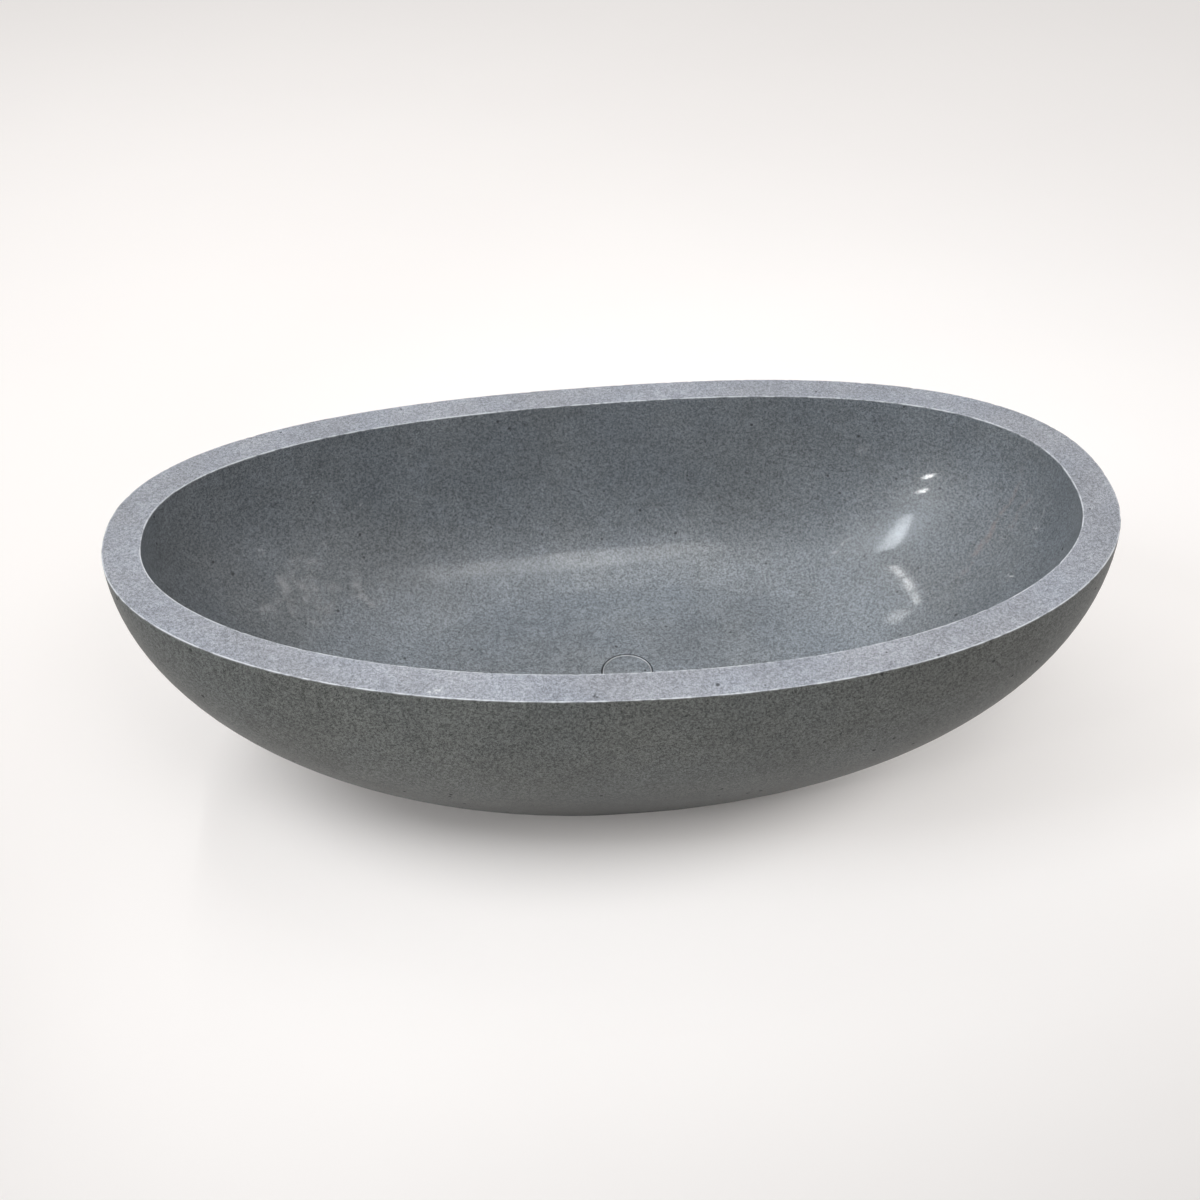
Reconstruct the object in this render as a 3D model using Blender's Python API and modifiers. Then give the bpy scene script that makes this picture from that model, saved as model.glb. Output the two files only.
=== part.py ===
"""Freestanding oval bath carved from one block of basalt, with a click-clack waste.

Metres, +Z up. The origin is on the ground under the middle of the bath. +X runs
along the bath towards its broader end. The waste stands on its own vertical axis
at (DRAIN_X, 0), and every turned piece of it is drawn around that axis.
"""
import math

import bmesh
import bpy

# ---------------------------------------------------------------- driving dimensions
# The block
LENGTH = 1.800              # over the rim, end to end
WIDTH = 0.932               # of the rim at mid length
RIM_HEIGHT = 0.468          # ground to rim at mid length
END_RISE = 0.038            # how much higher the rim is at the two ends
WALL = 0.065                # width of the flat rim
BASE_LENGTH = 0.742         # flat foot the bath stands on
BASE_WIDTH = 0.554
FLOOR_THICKNESS = 0.104     # ground to the bath's floor
FLOOR_LENGTH = 0.810        # flat part of the bath's floor
FLOOR_WIDTH = 0.468

# Outline of rim and foot: superellipse power, and how much broader the +X end is
RIM_POWER = 2.22
RIM_TAPER = 0.060
BASE_POWER = 2.74
BASE_TAPER = 0.014

# Curves of the walls from rim to foot and from rim to floor, see fullness()
HULL_LONG_CURVE = (2.13, 1.01)
HULL_CROSS_CURVE = (2.73, 0.20)
BOWL_LONG_CURVE = (2.05, 1.30)
BOWL_CROSS_CURVE = (2.60, 1.60)

# The drain in the stone
DRAIN_X = 0.021             # towards the broader end
CAP_JOINT = 0.003           # water gap around the cap
SEAT_STONE = 0.033          # stone that the waste clamps on
HOLE_CLEARANCE = 0.0016     # around the waste's tube
POCKET_RADIUS = 0.075       # service pocket underneath

# The cap
CAP_RADIUS = 0.048
CUP_WALL = 0.0019
CUP_BASE = 0.002
CAP_STONE_THICKNESS = 0.0102
CUP_LIP_ROOM = 0.0012       # between the boss's lip and the bore it enters
CUP_LIP = 0.0015            # how far the boss's lip reaches under the seal
CUP_LIP_HEIGHT = 0.0015
SEAL_WIDTH = 0.0125
SEAL_THICKNESS = 0.0024
STUD_RADIUS = 0.004
STUD_IN_PLUNGER = 0.009
LOCK_NUT_WALL = 0.0022      # thinnest metal around the stud
LOCK_NUT_HEIGHT = 0.004

# The waste
FLANGE_WIDTH = 0.0111       # how far the flange stands out from the tube
FLANGE_THICKNESS = 0.003
TUBE_RADIUS = 0.0239
TUBE_WALL = 0.0029
TAIL_GROUND_GAP = 0.012     # the tube ends this far above the ground
GASKET_THICKNESS = 0.002
LOWER_SEAL_THICKNESS = 0.004
SLIP_WASHER_THICKNESS = 0.002
WASHER_WIDTH = 0.0098
BACK_NUT_WALL = 0.0058      # thinnest metal around the tube
BACK_NUT_HEIGHT = 0.010
WEB_WIDTH = 0.0025
WEB_HEIGHT = 0.006
WEB_BOSS_WALL = 0.0032

# The push-push cartridge
CAP_TRAVEL = 0.009          # how far the cap rises
PLUNGER_RADIUS = 0.0058
PLUNGER_ABOVE_COLLAR = 0.0033
PLUNGER_FOOT_ROOM = 0.0006  # between foot and barrel
PLUNGER_FOOT_HEIGHT = 0.002
ROTOR_PIN_RADIUS = 0.0035
ROTOR_HEIGHT = 0.004
ROTOR_ROOM = 0.0005         # between lugs and barrel
ROTOR_LUG = 0.0008
ROTOR_LUG_WIDTH = 0.002
ROTOR_LUGS = 4
BARREL_BORE = 0.0082
BARREL_WALL = 0.0023
BARREL_BASE = 0.003
BARREL_SHANK_RADIUS = 0.005
BARREL_SHANK_BELOW_WEB = 0.002
COLLAR_HEIGHT = 0.002
COLLAR_SPIGOT = 0.003
SPRING_LENGTH = 0.012       # pressed, with the cap shut
SPRING_WIRE = 0.0005        # half the wire's thickness
SPRING_ROOM = 0.0019        # between spring and barrel
SPRING_TURNS = 6

# Clearances
GAP = 0.0003                # between pieces that touch
RUN = 0.0003                # between pieces that slide or turn

# Fineness of the faceted solids
AROUND_BATH = 96
HULL_STEPS = 14
BOWL_STEPS = 16
AROUND_WASTE = 40
AROUND_CARTRIDGE = 24
SPRING_POINTS_PER_TURN = 12

# ------------------------------------------------------------------- derived heights
FLOOR_Z = FLOOR_THICKNESS
CUP_HEIGHT = CUP_BASE + GAP + CAP_STONE_THICKNESS
CUP_BOTTOM_Z = FLOOR_Z - CUP_HEIGHT
CUP_BASE_TOP_Z = CUP_BOTTOM_Z + CUP_BASE
FLANGE_TOP_Z = CUP_BOTTOM_Z - SEAL_THICKNESS - 2 * GAP
SEAT_Z = FLANGE_TOP_Z - FLANGE_THICKNESS - GASKET_THICKNESS - 2 * GAP
POCKET_CEILING_Z = SEAT_Z - SEAT_STONE
LIP_TOP_Z = FLANGE_TOP_Z
LIP_BOTTOM_Z = LIP_TOP_Z - CUP_LIP_HEIGHT
LOCK_NUT_TOP_Z = LIP_BOTTOM_Z - GAP
PLUNGER_TOP_Z = LOCK_NUT_TOP_Z - LOCK_NUT_HEIGHT - GAP
COLLAR_TOP_Z = PLUNGER_TOP_Z - PLUNGER_ABOVE_COLLAR
BARREL_TOP_Z = COLLAR_TOP_Z - COLLAR_HEIGHT - GAP
SPIGOT_BOTTOM_Z = BARREL_TOP_Z + GAP - COLLAR_SPIGOT
PLUNGER_FOOT_TOP_Z = SPIGOT_BOTTOM_Z - GAP - CAP_TRAVEL
ROTOR_TOP_Z = PLUNGER_FOOT_TOP_Z - PLUNGER_FOOT_HEIGHT - GAP
SPRING_TOP_Z = ROTOR_TOP_Z - ROTOR_HEIGHT - GAP
SPRING_BOTTOM_Z = SPRING_TOP_Z - SPRING_LENGTH
BARREL_FLOOR_Z = SPRING_BOTTOM_Z - GAP
BARREL_BOTTOM_Z = BARREL_FLOOR_Z - BARREL_BASE
WEB_TOP_Z = BARREL_BOTTOM_Z - GAP
WEB_BOTTOM_Z = WEB_TOP_Z - WEB_HEIGHT
LOWER_SEAL_TOP_Z = POCKET_CEILING_Z - GAP
SLIP_WASHER_TOP_Z = LOWER_SEAL_TOP_Z - LOWER_SEAL_THICKNESS - GAP
BACK_NUT_TOP_Z = SLIP_WASHER_TOP_Z - SLIP_WASHER_THICKNESS - GAP

# --------------------------------------------------------------------- derived radii
RECESS_RADIUS = CAP_RADIUS + CAP_JOINT
TUBE_BORE = TUBE_RADIUS - TUBE_WALL
HOLE_RADIUS = TUBE_RADIUS + HOLE_CLEARANCE
FLANGE_RADIUS = TUBE_RADIUS + FLANGE_WIDTH
ON_TUBE = TUBE_RADIUS + GAP
STUD_HOLE = STUD_RADIUS + GAP
SHANK_HOLE = BARREL_SHANK_RADIUS + GAP
CUP_LIP_RADIUS = TUBE_BORE - CUP_LIP_ROOM
CUP_BOSS_RADIUS = CUP_LIP_RADIUS - CUP_LIP
PLUNGER_FOOT_RADIUS = BARREL_BORE - PLUNGER_FOOT_ROOM
ROTOR_BORE = ROTOR_PIN_RADIUS + RUN
ROTOR_RADIUS = BARREL_BORE - ROTOR_ROOM - ROTOR_LUG
BARREL_RADIUS = BARREL_BORE + BARREL_WALL
SPRING_RADIUS = BARREL_BORE - SPRING_ROOM - SPRING_WIRE

# ------------------------------------------------------------------------ scene start
for old in list(bpy.data.objects):
    bpy.data.objects.remove(old, do_unlink=True)

PARTS = bpy.data.collections.new("basalt_bath")
CUTTERS = bpy.data.collections.new("cutters")
for collection in (PARTS, CUTTERS):
    bpy.context.scene.collection.children.link(collection)


def principled(name, colour, roughness, metallic=0.0):
    """A plain material with the finish of one kind of piece."""
    material = bpy.data.materials.new(name)
    material.use_nodes = True
    shader = material.node_tree.nodes["Principled BSDF"]
    shader.inputs["Base Color"].default_value = (*colour, 1.0)
    shader.inputs["Roughness"].default_value = roughness
    shader.inputs["Metallic"].default_value = metallic
    return material


BASALT = principled("basalt", (0.115, 0.122, 0.128), 0.55)
CAP_BASALT = principled("cap_basalt", (0.120, 0.128, 0.134), 0.50)
STEEL = principled("steel", (0.56, 0.56, 0.55), 0.30, 1.0)
BRASS = principled("brass", (0.60, 0.45, 0.22), 0.35, 1.0)
RUBBER = principled("rubber", (0.025, 0.025, 0.027), 0.75)
PLASTIC = principled("plastic", (0.62, 0.62, 0.60), 0.50)


# -------------------------------------------------------------------- building blocks
def new_object(name, data, material=None, collection=PARTS, at=(0.0, 0.0, 0.0)):
    """Link an object, give it its material and set it at its place."""
    obj = bpy.data.objects.new(name, data)
    obj.location = at
    collection.objects.link(obj)
    if material is not None:
        data.materials.append(material)
    if collection is CUTTERS:
        obj.hide_render = True
        obj.display_type = "WIRE"
    return obj


def mesh_from(name, bm):
    """Turn a bmesh into a mesh whose normals all face outwards."""
    bmesh.ops.recalc_face_normals(bm, faces=bm.faces)
    mesh = bpy.data.meshes.new(name)
    bm.to_mesh(mesh)
    bm.free()
    return mesh


def turned(name, profile, material=None, closed=True, steps=AROUND_WASTE, collection=PARTS):
    """Turn a profile of (radius, height) points around the drain's axis.

    The points run down the outer side. A closed profile makes a ring, an open
    one starts and ends on the axis.
    """
    mesh = bpy.data.meshes.new(name)
    count = len(profile)
    edges = [(i, i + 1) for i in range(count - 1)]
    if closed:
        edges.append((count - 1, 0))
    mesh.from_pydata([(radius, 0.0, height) for radius, height in profile], edges, [])
    obj = new_object(name, mesh, material, collection, (DRAIN_X, 0.0, 0.0))
    screw = obj.modifiers.new("turn", "SCREW")
    screw.steps = steps
    screw.render_steps = steps
    screw.use_merge_vertices = True
    screw.merge_threshold = 0.00001
    screw.use_smooth_shade = True
    return obj


def washer(name, inner, outer, top, thickness, material):
    """A flat ring around the drain's axis."""
    bottom = top - thickness
    ring = [(outer, top), (outer, bottom), (inner, bottom), (inner, top)]
    return turned(name, ring, material)


def rod(name, radius, top, bottom, steps=AROUND_CARTRIDGE, collection=CUTTERS, material=None):
    """A plain cylinder on the drain's axis."""
    outline = [(0.0, top), (radius, top), (radius, bottom), (0.0, bottom)]
    return turned(name, outline, material, False, steps, collection)


def bar(name, size, centre, turn=0.0, collection=CUTTERS):
    """A rectangular bar around a point of the drain's axis, turned about it."""
    bm = bmesh.new()
    bmesh.ops.create_cube(bm, size=1.0)
    bmesh.ops.scale(bm, vec=size, verts=bm.verts)
    bmesh.ops.translate(bm, vec=centre, verts=bm.verts)
    obj = new_object(name, mesh_from(name, bm), None, collection, (DRAIN_X, 0.0, 0.0))
    obj.rotation_euler.z = turn
    return obj


def combine(obj, other, operation):
    """Cut another shape out of an object, or join it on."""
    modifier = obj.modifiers.new(other.name, "BOOLEAN")
    modifier.operation = operation
    modifier.object = other
    modifier.solver = "EXACT"


def hexagon_nut(name, hole, wall, top, height, material, steps):
    """A hexagon nut with chamfered corners on the drain's axis."""
    flats = 2 * (hole + wall)
    corner = flats / math.sqrt(3.0)
    bm = bmesh.new()
    bmesh.ops.create_cone(
        bm, cap_ends=True, segments=6, radius1=corner, radius2=corner, depth=height
    )
    bmesh.ops.translate(bm, vec=(0.0, 0.0, top - height / 2), verts=bm.verts)
    nut = new_object(name, mesh_from(name, bm), material, PARTS, (DRAIN_X, 0.0, 0.0))
    corners = corner - flats / 2
    past = corners / 4
    slope = math.tan(math.radians(30))
    crown = [
        (0.0, top + past * slope),
        (flats / 2 - past, top + past * slope),
        (corner + past, top - (corners + past) * slope),
        (corner + past, top - height + (corners + past) * slope),
        (flats / 2 - past, top - height - past * slope),
        (0.0, top - height - past * slope),
    ]
    crowned = turned(name + "_crown", crown, None, False, steps, CUTTERS)
    combine(nut, crowned, "INTERSECT")
    combine(nut, rod(name + "_hole", hole, top + height, top - 2 * height, steps), "DIFFERENCE")
    return nut


# ------------------------------------------------------------------ the carved block
def egg(angle, half_length, half_width, power, taper):
    """A point of the egg-shaped outline, broader towards +X."""
    c = math.cos(angle)
    s = math.sin(angle)
    x = math.copysign(abs(c) ** (2 / power), c)
    y = math.copysign(abs(s) ** (2 / power), s) * (1 + taper * x)
    return half_length * x, half_width * y


def fullness(depth, foot, curve):
    """Share of the rim's half size left at a depth of 0 (rim) to 1 (foot).

    The first number of the curve says how long the wall stays upright under
    the rim, the second how it turns in at the foot.
    """
    power, turn = curve
    return (1 - (1 - foot ** turn) * depth ** power) ** (1 / turn)


def blend(start, end, share):
    return start + (end - start) * share


def hull_ring(depth):
    """Outer face of the stone at a depth of 0 (rim) to 1 (ground)."""
    half_length = LENGTH / 2 * fullness(depth, BASE_LENGTH / LENGTH, HULL_LONG_CURVE)
    half_width = WIDTH / 2 * fullness(depth, BASE_WIDTH / WIDTH, HULL_CROSS_CURVE)
    power = blend(RIM_POWER, BASE_POWER, depth)
    taper = blend(RIM_TAPER, BASE_TAPER, depth)
    ring = []
    for i in range(AROUND_BATH):
        x, y = egg(math.tau * i / AROUND_BATH, half_length, half_width, power, taper)
        rim_z = RIM_HEIGHT + END_RISE * (2 * x / LENGTH) ** 2
        ring.append((x, y, rim_z * (1 - depth)))
    return ring


def rim_inside():
    """Inner edge of the flat rim: the outer edge moved in by the wall."""
    small = 0.001
    edge = []
    for i in range(AROUND_BATH):
        angle = math.tau * i / AROUND_BATH
        size = (LENGTH / 2, WIDTH / 2, RIM_POWER, RIM_TAPER)
        x, y = egg(angle, *size)
        ahead = egg(angle + small, *size)
        behind = egg(angle - small, *size)
        along = (ahead[0] - behind[0], ahead[1] - behind[1])
        length = math.hypot(*along)
        edge.append((x - along[1] / length * WALL, y + along[0] / length * WALL))
    return edge


def bowl_ring(depth, edge):
    """Inner face of the stone at a depth of 0 (rim) to 1 (bath floor)."""
    power, turn = BOWL_LONG_CURVE
    long_share = (1 - depth ** power) ** (1 / turn)
    power, turn = BOWL_CROSS_CURVE
    cross_share = (1 - depth ** power) ** (1 / turn)
    long_foot = FLOOR_LENGTH / (LENGTH - 2 * WALL)
    cross_foot = FLOOR_WIDTH / (WIDTH - 2 * WALL)
    ring = []
    for x, y in edge:
        rim_z = RIM_HEIGHT + END_RISE * (2 * x / LENGTH) ** 2
        z = blend(rim_z, FLOOR_Z, depth)
        ring.append((x * blend(long_foot, 1, long_share), y * blend(cross_foot, 1, cross_share), z))
    return ring


def tub_shell():
    """The block: hull from ground to rim, flat rim, bowl from rim to floor."""
    edge = rim_inside()
    rings = [hull_ring(1 - step / HULL_STEPS) for step in range(HULL_STEPS + 1)]
    for step in range(BOWL_STEPS + 1):
        depth = math.sin(math.pi / 2 * step / BOWL_STEPS)
        rings.append(bowl_ring(depth, edge))
    bm = bmesh.new()
    loops = [[bm.verts.new(point) for point in ring] for ring in rings]
    for below, above in zip(loops, loops[1:]):
        for i in range(AROUND_BATH):
            j = (i + 1) % AROUND_BATH
            bm.faces.new((below[i], below[j], above[j], above[i]))
    bm.faces.new(loops[0])
    bm.faces.new(loops[-1])
    tub = new_object("tub_shell", mesh_from("tub_shell", bm), BASALT)
    tub.data.shade_smooth()
    tub.data.set_sharp_from_angle(angle=math.radians(35))

    beyond = 0.010
    opening = [
        (0.0, FLOOR_Z + beyond),
        (RECESS_RADIUS, FLOOR_Z + beyond),
        (RECESS_RADIUS, FLANGE_TOP_Z),
        (FLANGE_RADIUS + GAP, FLANGE_TOP_Z),
        (FLANGE_RADIUS + GAP, SEAT_Z),
        (HOLE_RADIUS, SEAT_Z),
        (HOLE_RADIUS, POCKET_CEILING_Z),
        (POCKET_RADIUS, POCKET_CEILING_Z),
        (POCKET_RADIUS, -beyond),
        (0.0, -beyond),
    ]
    cutter = turned("drain_opening", opening, None, False, 48, CUTTERS)
    combine(tub, cutter, "DIFFERENCE")


# ------------------------------------------------------------------------- the waste
def waste_body():
    """Flange and tube, with a cross web that carries the cartridge."""
    chamfer = 0.0015
    profile = [
        (FLANGE_RADIUS, FLANGE_TOP_Z),
        (FLANGE_RADIUS, FLANGE_TOP_Z - FLANGE_THICKNESS),
        (TUBE_RADIUS, FLANGE_TOP_Z - FLANGE_THICKNESS),
        (TUBE_RADIUS, TAIL_GROUND_GAP),
        (TUBE_BORE, TAIL_GROUND_GAP),
        (TUBE_BORE, FLANGE_TOP_Z - chamfer),
        (TUBE_BORE + chamfer, FLANGE_TOP_Z),
    ]
    body = turned("waste_body", profile, BRASS)
    into_wall = 0.001
    reach = 2 * (TUBE_BORE + into_wall)
    middle_z = (WEB_TOP_Z + WEB_BOTTOM_Z) / 2
    step_down = 0.0005
    for i in range(2):
        height = WEB_HEIGHT - 2 * step_down * (1 + i)
        web = bar(f"web_{i + 1}", (reach, WEB_WIDTH, height), (0, 0, middle_z), i * math.pi / 2)
        combine(body, web, "UNION")
    boss = rod("web_boss", SHANK_HOLE + WEB_BOSS_WALL, WEB_TOP_Z, WEB_BOTTOM_Z)
    combine(body, boss, "UNION")
    beyond = 0.005
    hole = rod("web_hole", SHANK_HOLE, WEB_TOP_Z + beyond, WEB_BOTTOM_Z - beyond)
    combine(body, hole, "DIFFERENCE")


def waste_fixings():
    """What seals and clamps the waste to the stone."""
    washer(
        "flange_gasket", ON_TUBE, FLANGE_RADIUS, SEAT_Z + GAP + GASKET_THICKNESS,
        GASKET_THICKNESS, RUBBER,
    )
    outer = ON_TUBE + WASHER_WIDTH
    washer("lower_seal", ON_TUBE, outer, LOWER_SEAL_TOP_Z, LOWER_SEAL_THICKNESS, RUBBER)
    washer("slip_washer", ON_TUBE, outer, SLIP_WASHER_TOP_Z, SLIP_WASHER_THICKNESS, STEEL)
    hexagon_nut(
        "back_nut", ON_TUBE, BACK_NUT_WALL, BACK_NUT_TOP_Z, BACK_NUT_HEIGHT, BRASS,
        AROUND_WASTE,
    )


# --------------------------------------------------------------------------- the cap
def cap():
    """The stone disc in its cup, the seal under it, and the stud with its nut."""
    inside = CAP_RADIUS - CUP_WALL
    cup = [
        (CAP_RADIUS, FLOOR_Z),
        (CAP_RADIUS, CUP_BOTTOM_Z),
        (CUP_BOSS_RADIUS, CUP_BOTTOM_Z),
        (CUP_BOSS_RADIUS, LIP_TOP_Z),
        (CUP_LIP_RADIUS, LIP_TOP_Z),
        (CUP_LIP_RADIUS, LIP_BOTTOM_Z),
        (STUD_HOLE, LIP_BOTTOM_Z),
        (STUD_HOLE, CUP_BASE_TOP_Z),
        (inside, CUP_BASE_TOP_Z),
        (inside, FLOOR_Z),
    ]
    turned("cap_cup", cup, STEEL, True, 64)
    disc = inside - GAP
    rod("cap_stone", disc, FLOOR_Z, FLOOR_Z - CAP_STONE_THICKNESS, 64, PARTS, CAP_BASALT)
    seal_inner = CUP_BOSS_RADIUS + GAP
    washer(
        "cap_seal", seal_inner, seal_inner + SEAL_WIDTH, CUP_BOTTOM_Z - GAP,
        SEAL_THICKNESS, RUBBER,
    )
    rod(
        "cap_stud", STUD_RADIUS, CUP_BASE_TOP_Z - GAP, PLUNGER_TOP_Z - STUD_IN_PLUNGER,
        AROUND_CARTRIDGE, PARTS, BRASS,
    )
    hexagon_nut(
        "cap_lock_nut", STUD_HOLE, LOCK_NUT_WALL, LOCK_NUT_TOP_Z, LOCK_NUT_HEIGHT, BRASS,
        AROUND_CARTRIDGE,
    )


# --------------------------------------------------------------------- the cartridge
def plunger():
    """Rod with a hole for the stud, a foot that stops it, and the rotor's pin."""
    hole_bottom = PLUNGER_TOP_Z - STUD_IN_PLUNGER - 2 * GAP
    foot_bottom = PLUNGER_FOOT_TOP_Z - PLUNGER_FOOT_HEIGHT
    pin_bottom = ROTOR_TOP_Z - ROTOR_HEIGHT + RUN
    profile = [
        (0.0, hole_bottom),
        (STUD_HOLE, hole_bottom),
        (STUD_HOLE, PLUNGER_TOP_Z),
        (PLUNGER_RADIUS, PLUNGER_TOP_Z),
        (PLUNGER_RADIUS, PLUNGER_FOOT_TOP_Z),
        (PLUNGER_FOOT_RADIUS, PLUNGER_FOOT_TOP_Z),
        (PLUNGER_FOOT_RADIUS, foot_bottom),
        (ROTOR_PIN_RADIUS, foot_bottom),
        (ROTOR_PIN_RADIUS, pin_bottom),
        (0.0, pin_bottom),
    ]
    turned("plunger", profile, BRASS, False, AROUND_CARTRIDGE)


def rotor():
    """Ring that turns on the plunger's pin, with lugs that latch in the barrel."""
    bottom = ROTOR_TOP_Z - ROTOR_HEIGHT
    profile = [
        (ROTOR_RADIUS, ROTOR_TOP_Z),
        (ROTOR_RADIUS, bottom),
        (ROTOR_BORE, bottom),
        (ROTOR_BORE, ROTOR_TOP_Z),
    ]
    ring = turned("rotor", profile, PLASTIC, True, AROUND_CARTRIDGE)
    into_ring = 0.0008
    size = (ROTOR_LUG + into_ring, ROTOR_LUG_WIDTH, ROTOR_HEIGHT / 2)
    centre = (ROTOR_RADIUS + (ROTOR_LUG - into_ring) / 2, 0.0, bottom + ROTOR_HEIGHT * 0.4)
    for i in range(ROTOR_LUGS):
        lug = bar(f"rotor_lug_{i + 1}", size, centre, math.tau * (i + 0.5) / ROTOR_LUGS)
        combine(ring, lug, "UNION")


def barrel():
    """Cartridge body, with a shank that screws into the waste's web."""
    shank_bottom = WEB_BOTTOM_Z - BARREL_SHANK_BELOW_WEB
    profile = [
        (0.0, BARREL_FLOOR_Z),
        (BARREL_BORE, BARREL_FLOOR_Z),
        (BARREL_BORE, BARREL_TOP_Z),
        (BARREL_RADIUS, BARREL_TOP_Z),
        (BARREL_RADIUS, BARREL_BOTTOM_Z),
        (BARREL_SHANK_RADIUS, BARREL_BOTTOM_Z),
        (BARREL_SHANK_RADIUS, shank_bottom),
        (0.0, shank_bottom),
    ]
    turned("barrel", profile, PLASTIC, False, AROUND_CARTRIDGE)


def barrel_collar():
    """Ring on the barrel that guides the plunger and stops its foot."""
    spigot = BARREL_BORE - GAP
    shoulder = COLLAR_TOP_Z - COLLAR_HEIGHT
    guide = PLUNGER_RADIUS + RUN
    profile = [
        (BARREL_RADIUS, COLLAR_TOP_Z),
        (BARREL_RADIUS, shoulder),
        (spigot, shoulder),
        (spigot, SPIGOT_BOTTOM_Z),
        (guide, SPIGOT_BOTTOM_Z),
        (guide, COLLAR_TOP_Z),
    ]
    turned("barrel_collar", profile, BRASS, True, AROUND_CARTRIDGE)


def spring():
    """Round wire wound between the barrel's floor and the rotor."""
    curve = bpy.data.curves.new("spring", "CURVE")
    curve.dimensions = "3D"
    curve.bevel_depth = SPRING_WIRE
    curve.bevel_resolution = 2
    curve.use_fill_caps = True
    count = SPRING_TURNS * SPRING_POINTS_PER_TURN
    start = SPRING_BOTTOM_Z + SPRING_WIRE
    rise = SPRING_LENGTH - 2 * SPRING_WIRE
    spline = curve.splines.new("POLY")
    spline.points.add(count)
    for i in range(count + 1):
        angle = math.tau * i / SPRING_POINTS_PER_TURN
        x = SPRING_RADIUS * math.cos(angle)
        y = SPRING_RADIUS * math.sin(angle)
        spline.points[i].co = (x, y, start + rise * i / count, 1.0)
    new_object("spring", curve, STEEL, PARTS, (DRAIN_X, 0.0, 0.0))


tub_shell()
waste_body()
waste_fixings()
cap()
plunger()
rotor()
barrel()
barrel_collar()
spring()
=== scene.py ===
# %% [markdown]
# # A basalt bath, carved from one block
# The bath is a deep oval bowl with a thick flat rim. Its waste sits in the floor
# under a round cap of the same stone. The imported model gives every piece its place
# and its motion. This script makes the stone's fine surface, the metal pieces of
# the waste and the light.

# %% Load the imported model
import math
import random

import bmesh
import bpy
from mathutils import Matrix, Vector, kdtree, noise


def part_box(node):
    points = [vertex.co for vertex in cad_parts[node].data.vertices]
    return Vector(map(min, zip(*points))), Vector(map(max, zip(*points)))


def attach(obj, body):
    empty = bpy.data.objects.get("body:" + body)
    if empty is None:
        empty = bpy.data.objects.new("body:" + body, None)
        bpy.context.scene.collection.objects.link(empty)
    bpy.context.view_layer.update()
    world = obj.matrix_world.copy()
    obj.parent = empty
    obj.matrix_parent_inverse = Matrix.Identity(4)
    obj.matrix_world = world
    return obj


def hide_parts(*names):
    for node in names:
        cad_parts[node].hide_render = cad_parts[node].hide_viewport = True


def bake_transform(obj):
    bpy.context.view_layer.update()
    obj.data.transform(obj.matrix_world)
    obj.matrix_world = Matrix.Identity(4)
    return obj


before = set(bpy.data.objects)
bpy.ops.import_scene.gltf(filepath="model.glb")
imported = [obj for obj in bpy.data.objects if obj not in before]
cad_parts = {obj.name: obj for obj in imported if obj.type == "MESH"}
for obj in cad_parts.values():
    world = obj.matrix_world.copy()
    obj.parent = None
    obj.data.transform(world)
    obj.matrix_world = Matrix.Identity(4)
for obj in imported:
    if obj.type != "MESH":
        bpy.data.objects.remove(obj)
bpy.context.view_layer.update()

# %% [markdown]
# ## Measures
# The stone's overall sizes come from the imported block. The few numbers that a box
# can't tell, such as the curves of the walls, are the ones the block was drawn with.

# %% Sizes of the block
block_low, block_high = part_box("tub_shell")
cup_low, cup_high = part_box("cap_cup")
waste_low, waste_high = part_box("waste_body")

HALF_LENGTH = block_high.x
HALF_WIDTH = 0.466
END_RISE = 0.038
RIM_HEIGHT = block_high.z - END_RISE
WALL = 0.065
FLOOR_Z = cup_high.z
BASE = (0.371, 0.277)
FLOOR = (0.405, 0.234)
RIM_SHAPE = (2.22, 0.060)
BASE_SHAPE = (2.74, 0.014)
HULL_CURVES = ((2.13, 1.01), (2.73, 0.20))
BOWL_CURVES = ((2.05, 1.30), (2.60, 1.60))
DRAIN = Vector(((cup_low.x + cup_high.x) / 2, 0.0))
CAP_RADIUS = (cup_high.x - cup_low.x) / 2
print(f"rim {RIM_HEIGHT:.3f} m, floor {FLOOR_Z:.3f} m, cap radius {CAP_RADIUS:.4f} m")

# %% [markdown]
# ## The outline of a ring
# Seen from above, rim and foot are ovals that are a little squarer than an ellipse
# and a little broader at one end. A superellipse with a taper draws both. Every
# ring of the stone has the same number of points, so the rings can be bridged.

# %% Outline and wall curves
AROUND = 900


def egg(angle, half_length, half_width, power, taper):
    """A point of the oval, broader towards +X."""
    c, s = math.cos(angle), math.sin(angle)
    x = math.copysign(abs(c) ** (2 / power), c)
    y = math.copysign(abs(s) ** (2 / power), s) * (1 + taper * x)
    return Vector((half_length * x, half_width * y))


def rim_edge(angle, inset):
    """A point of the rim, moved square to the outline by the inset."""
    step = 0.001
    here = egg(angle, HALF_LENGTH, HALF_WIDTH, *RIM_SHAPE)
    ahead = egg(angle + step, HALF_LENGTH, HALF_WIDTH, *RIM_SHAPE)
    behind = egg(angle - step, HALF_LENGTH, HALF_WIDTH, *RIM_SHAPE)
    along = (ahead - behind).normalized()
    return here + Vector((-along.y, along.x)) * inset


def rim_z(x):
    return RIM_HEIGHT + END_RISE * (x / HALF_LENGTH) ** 2


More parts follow.
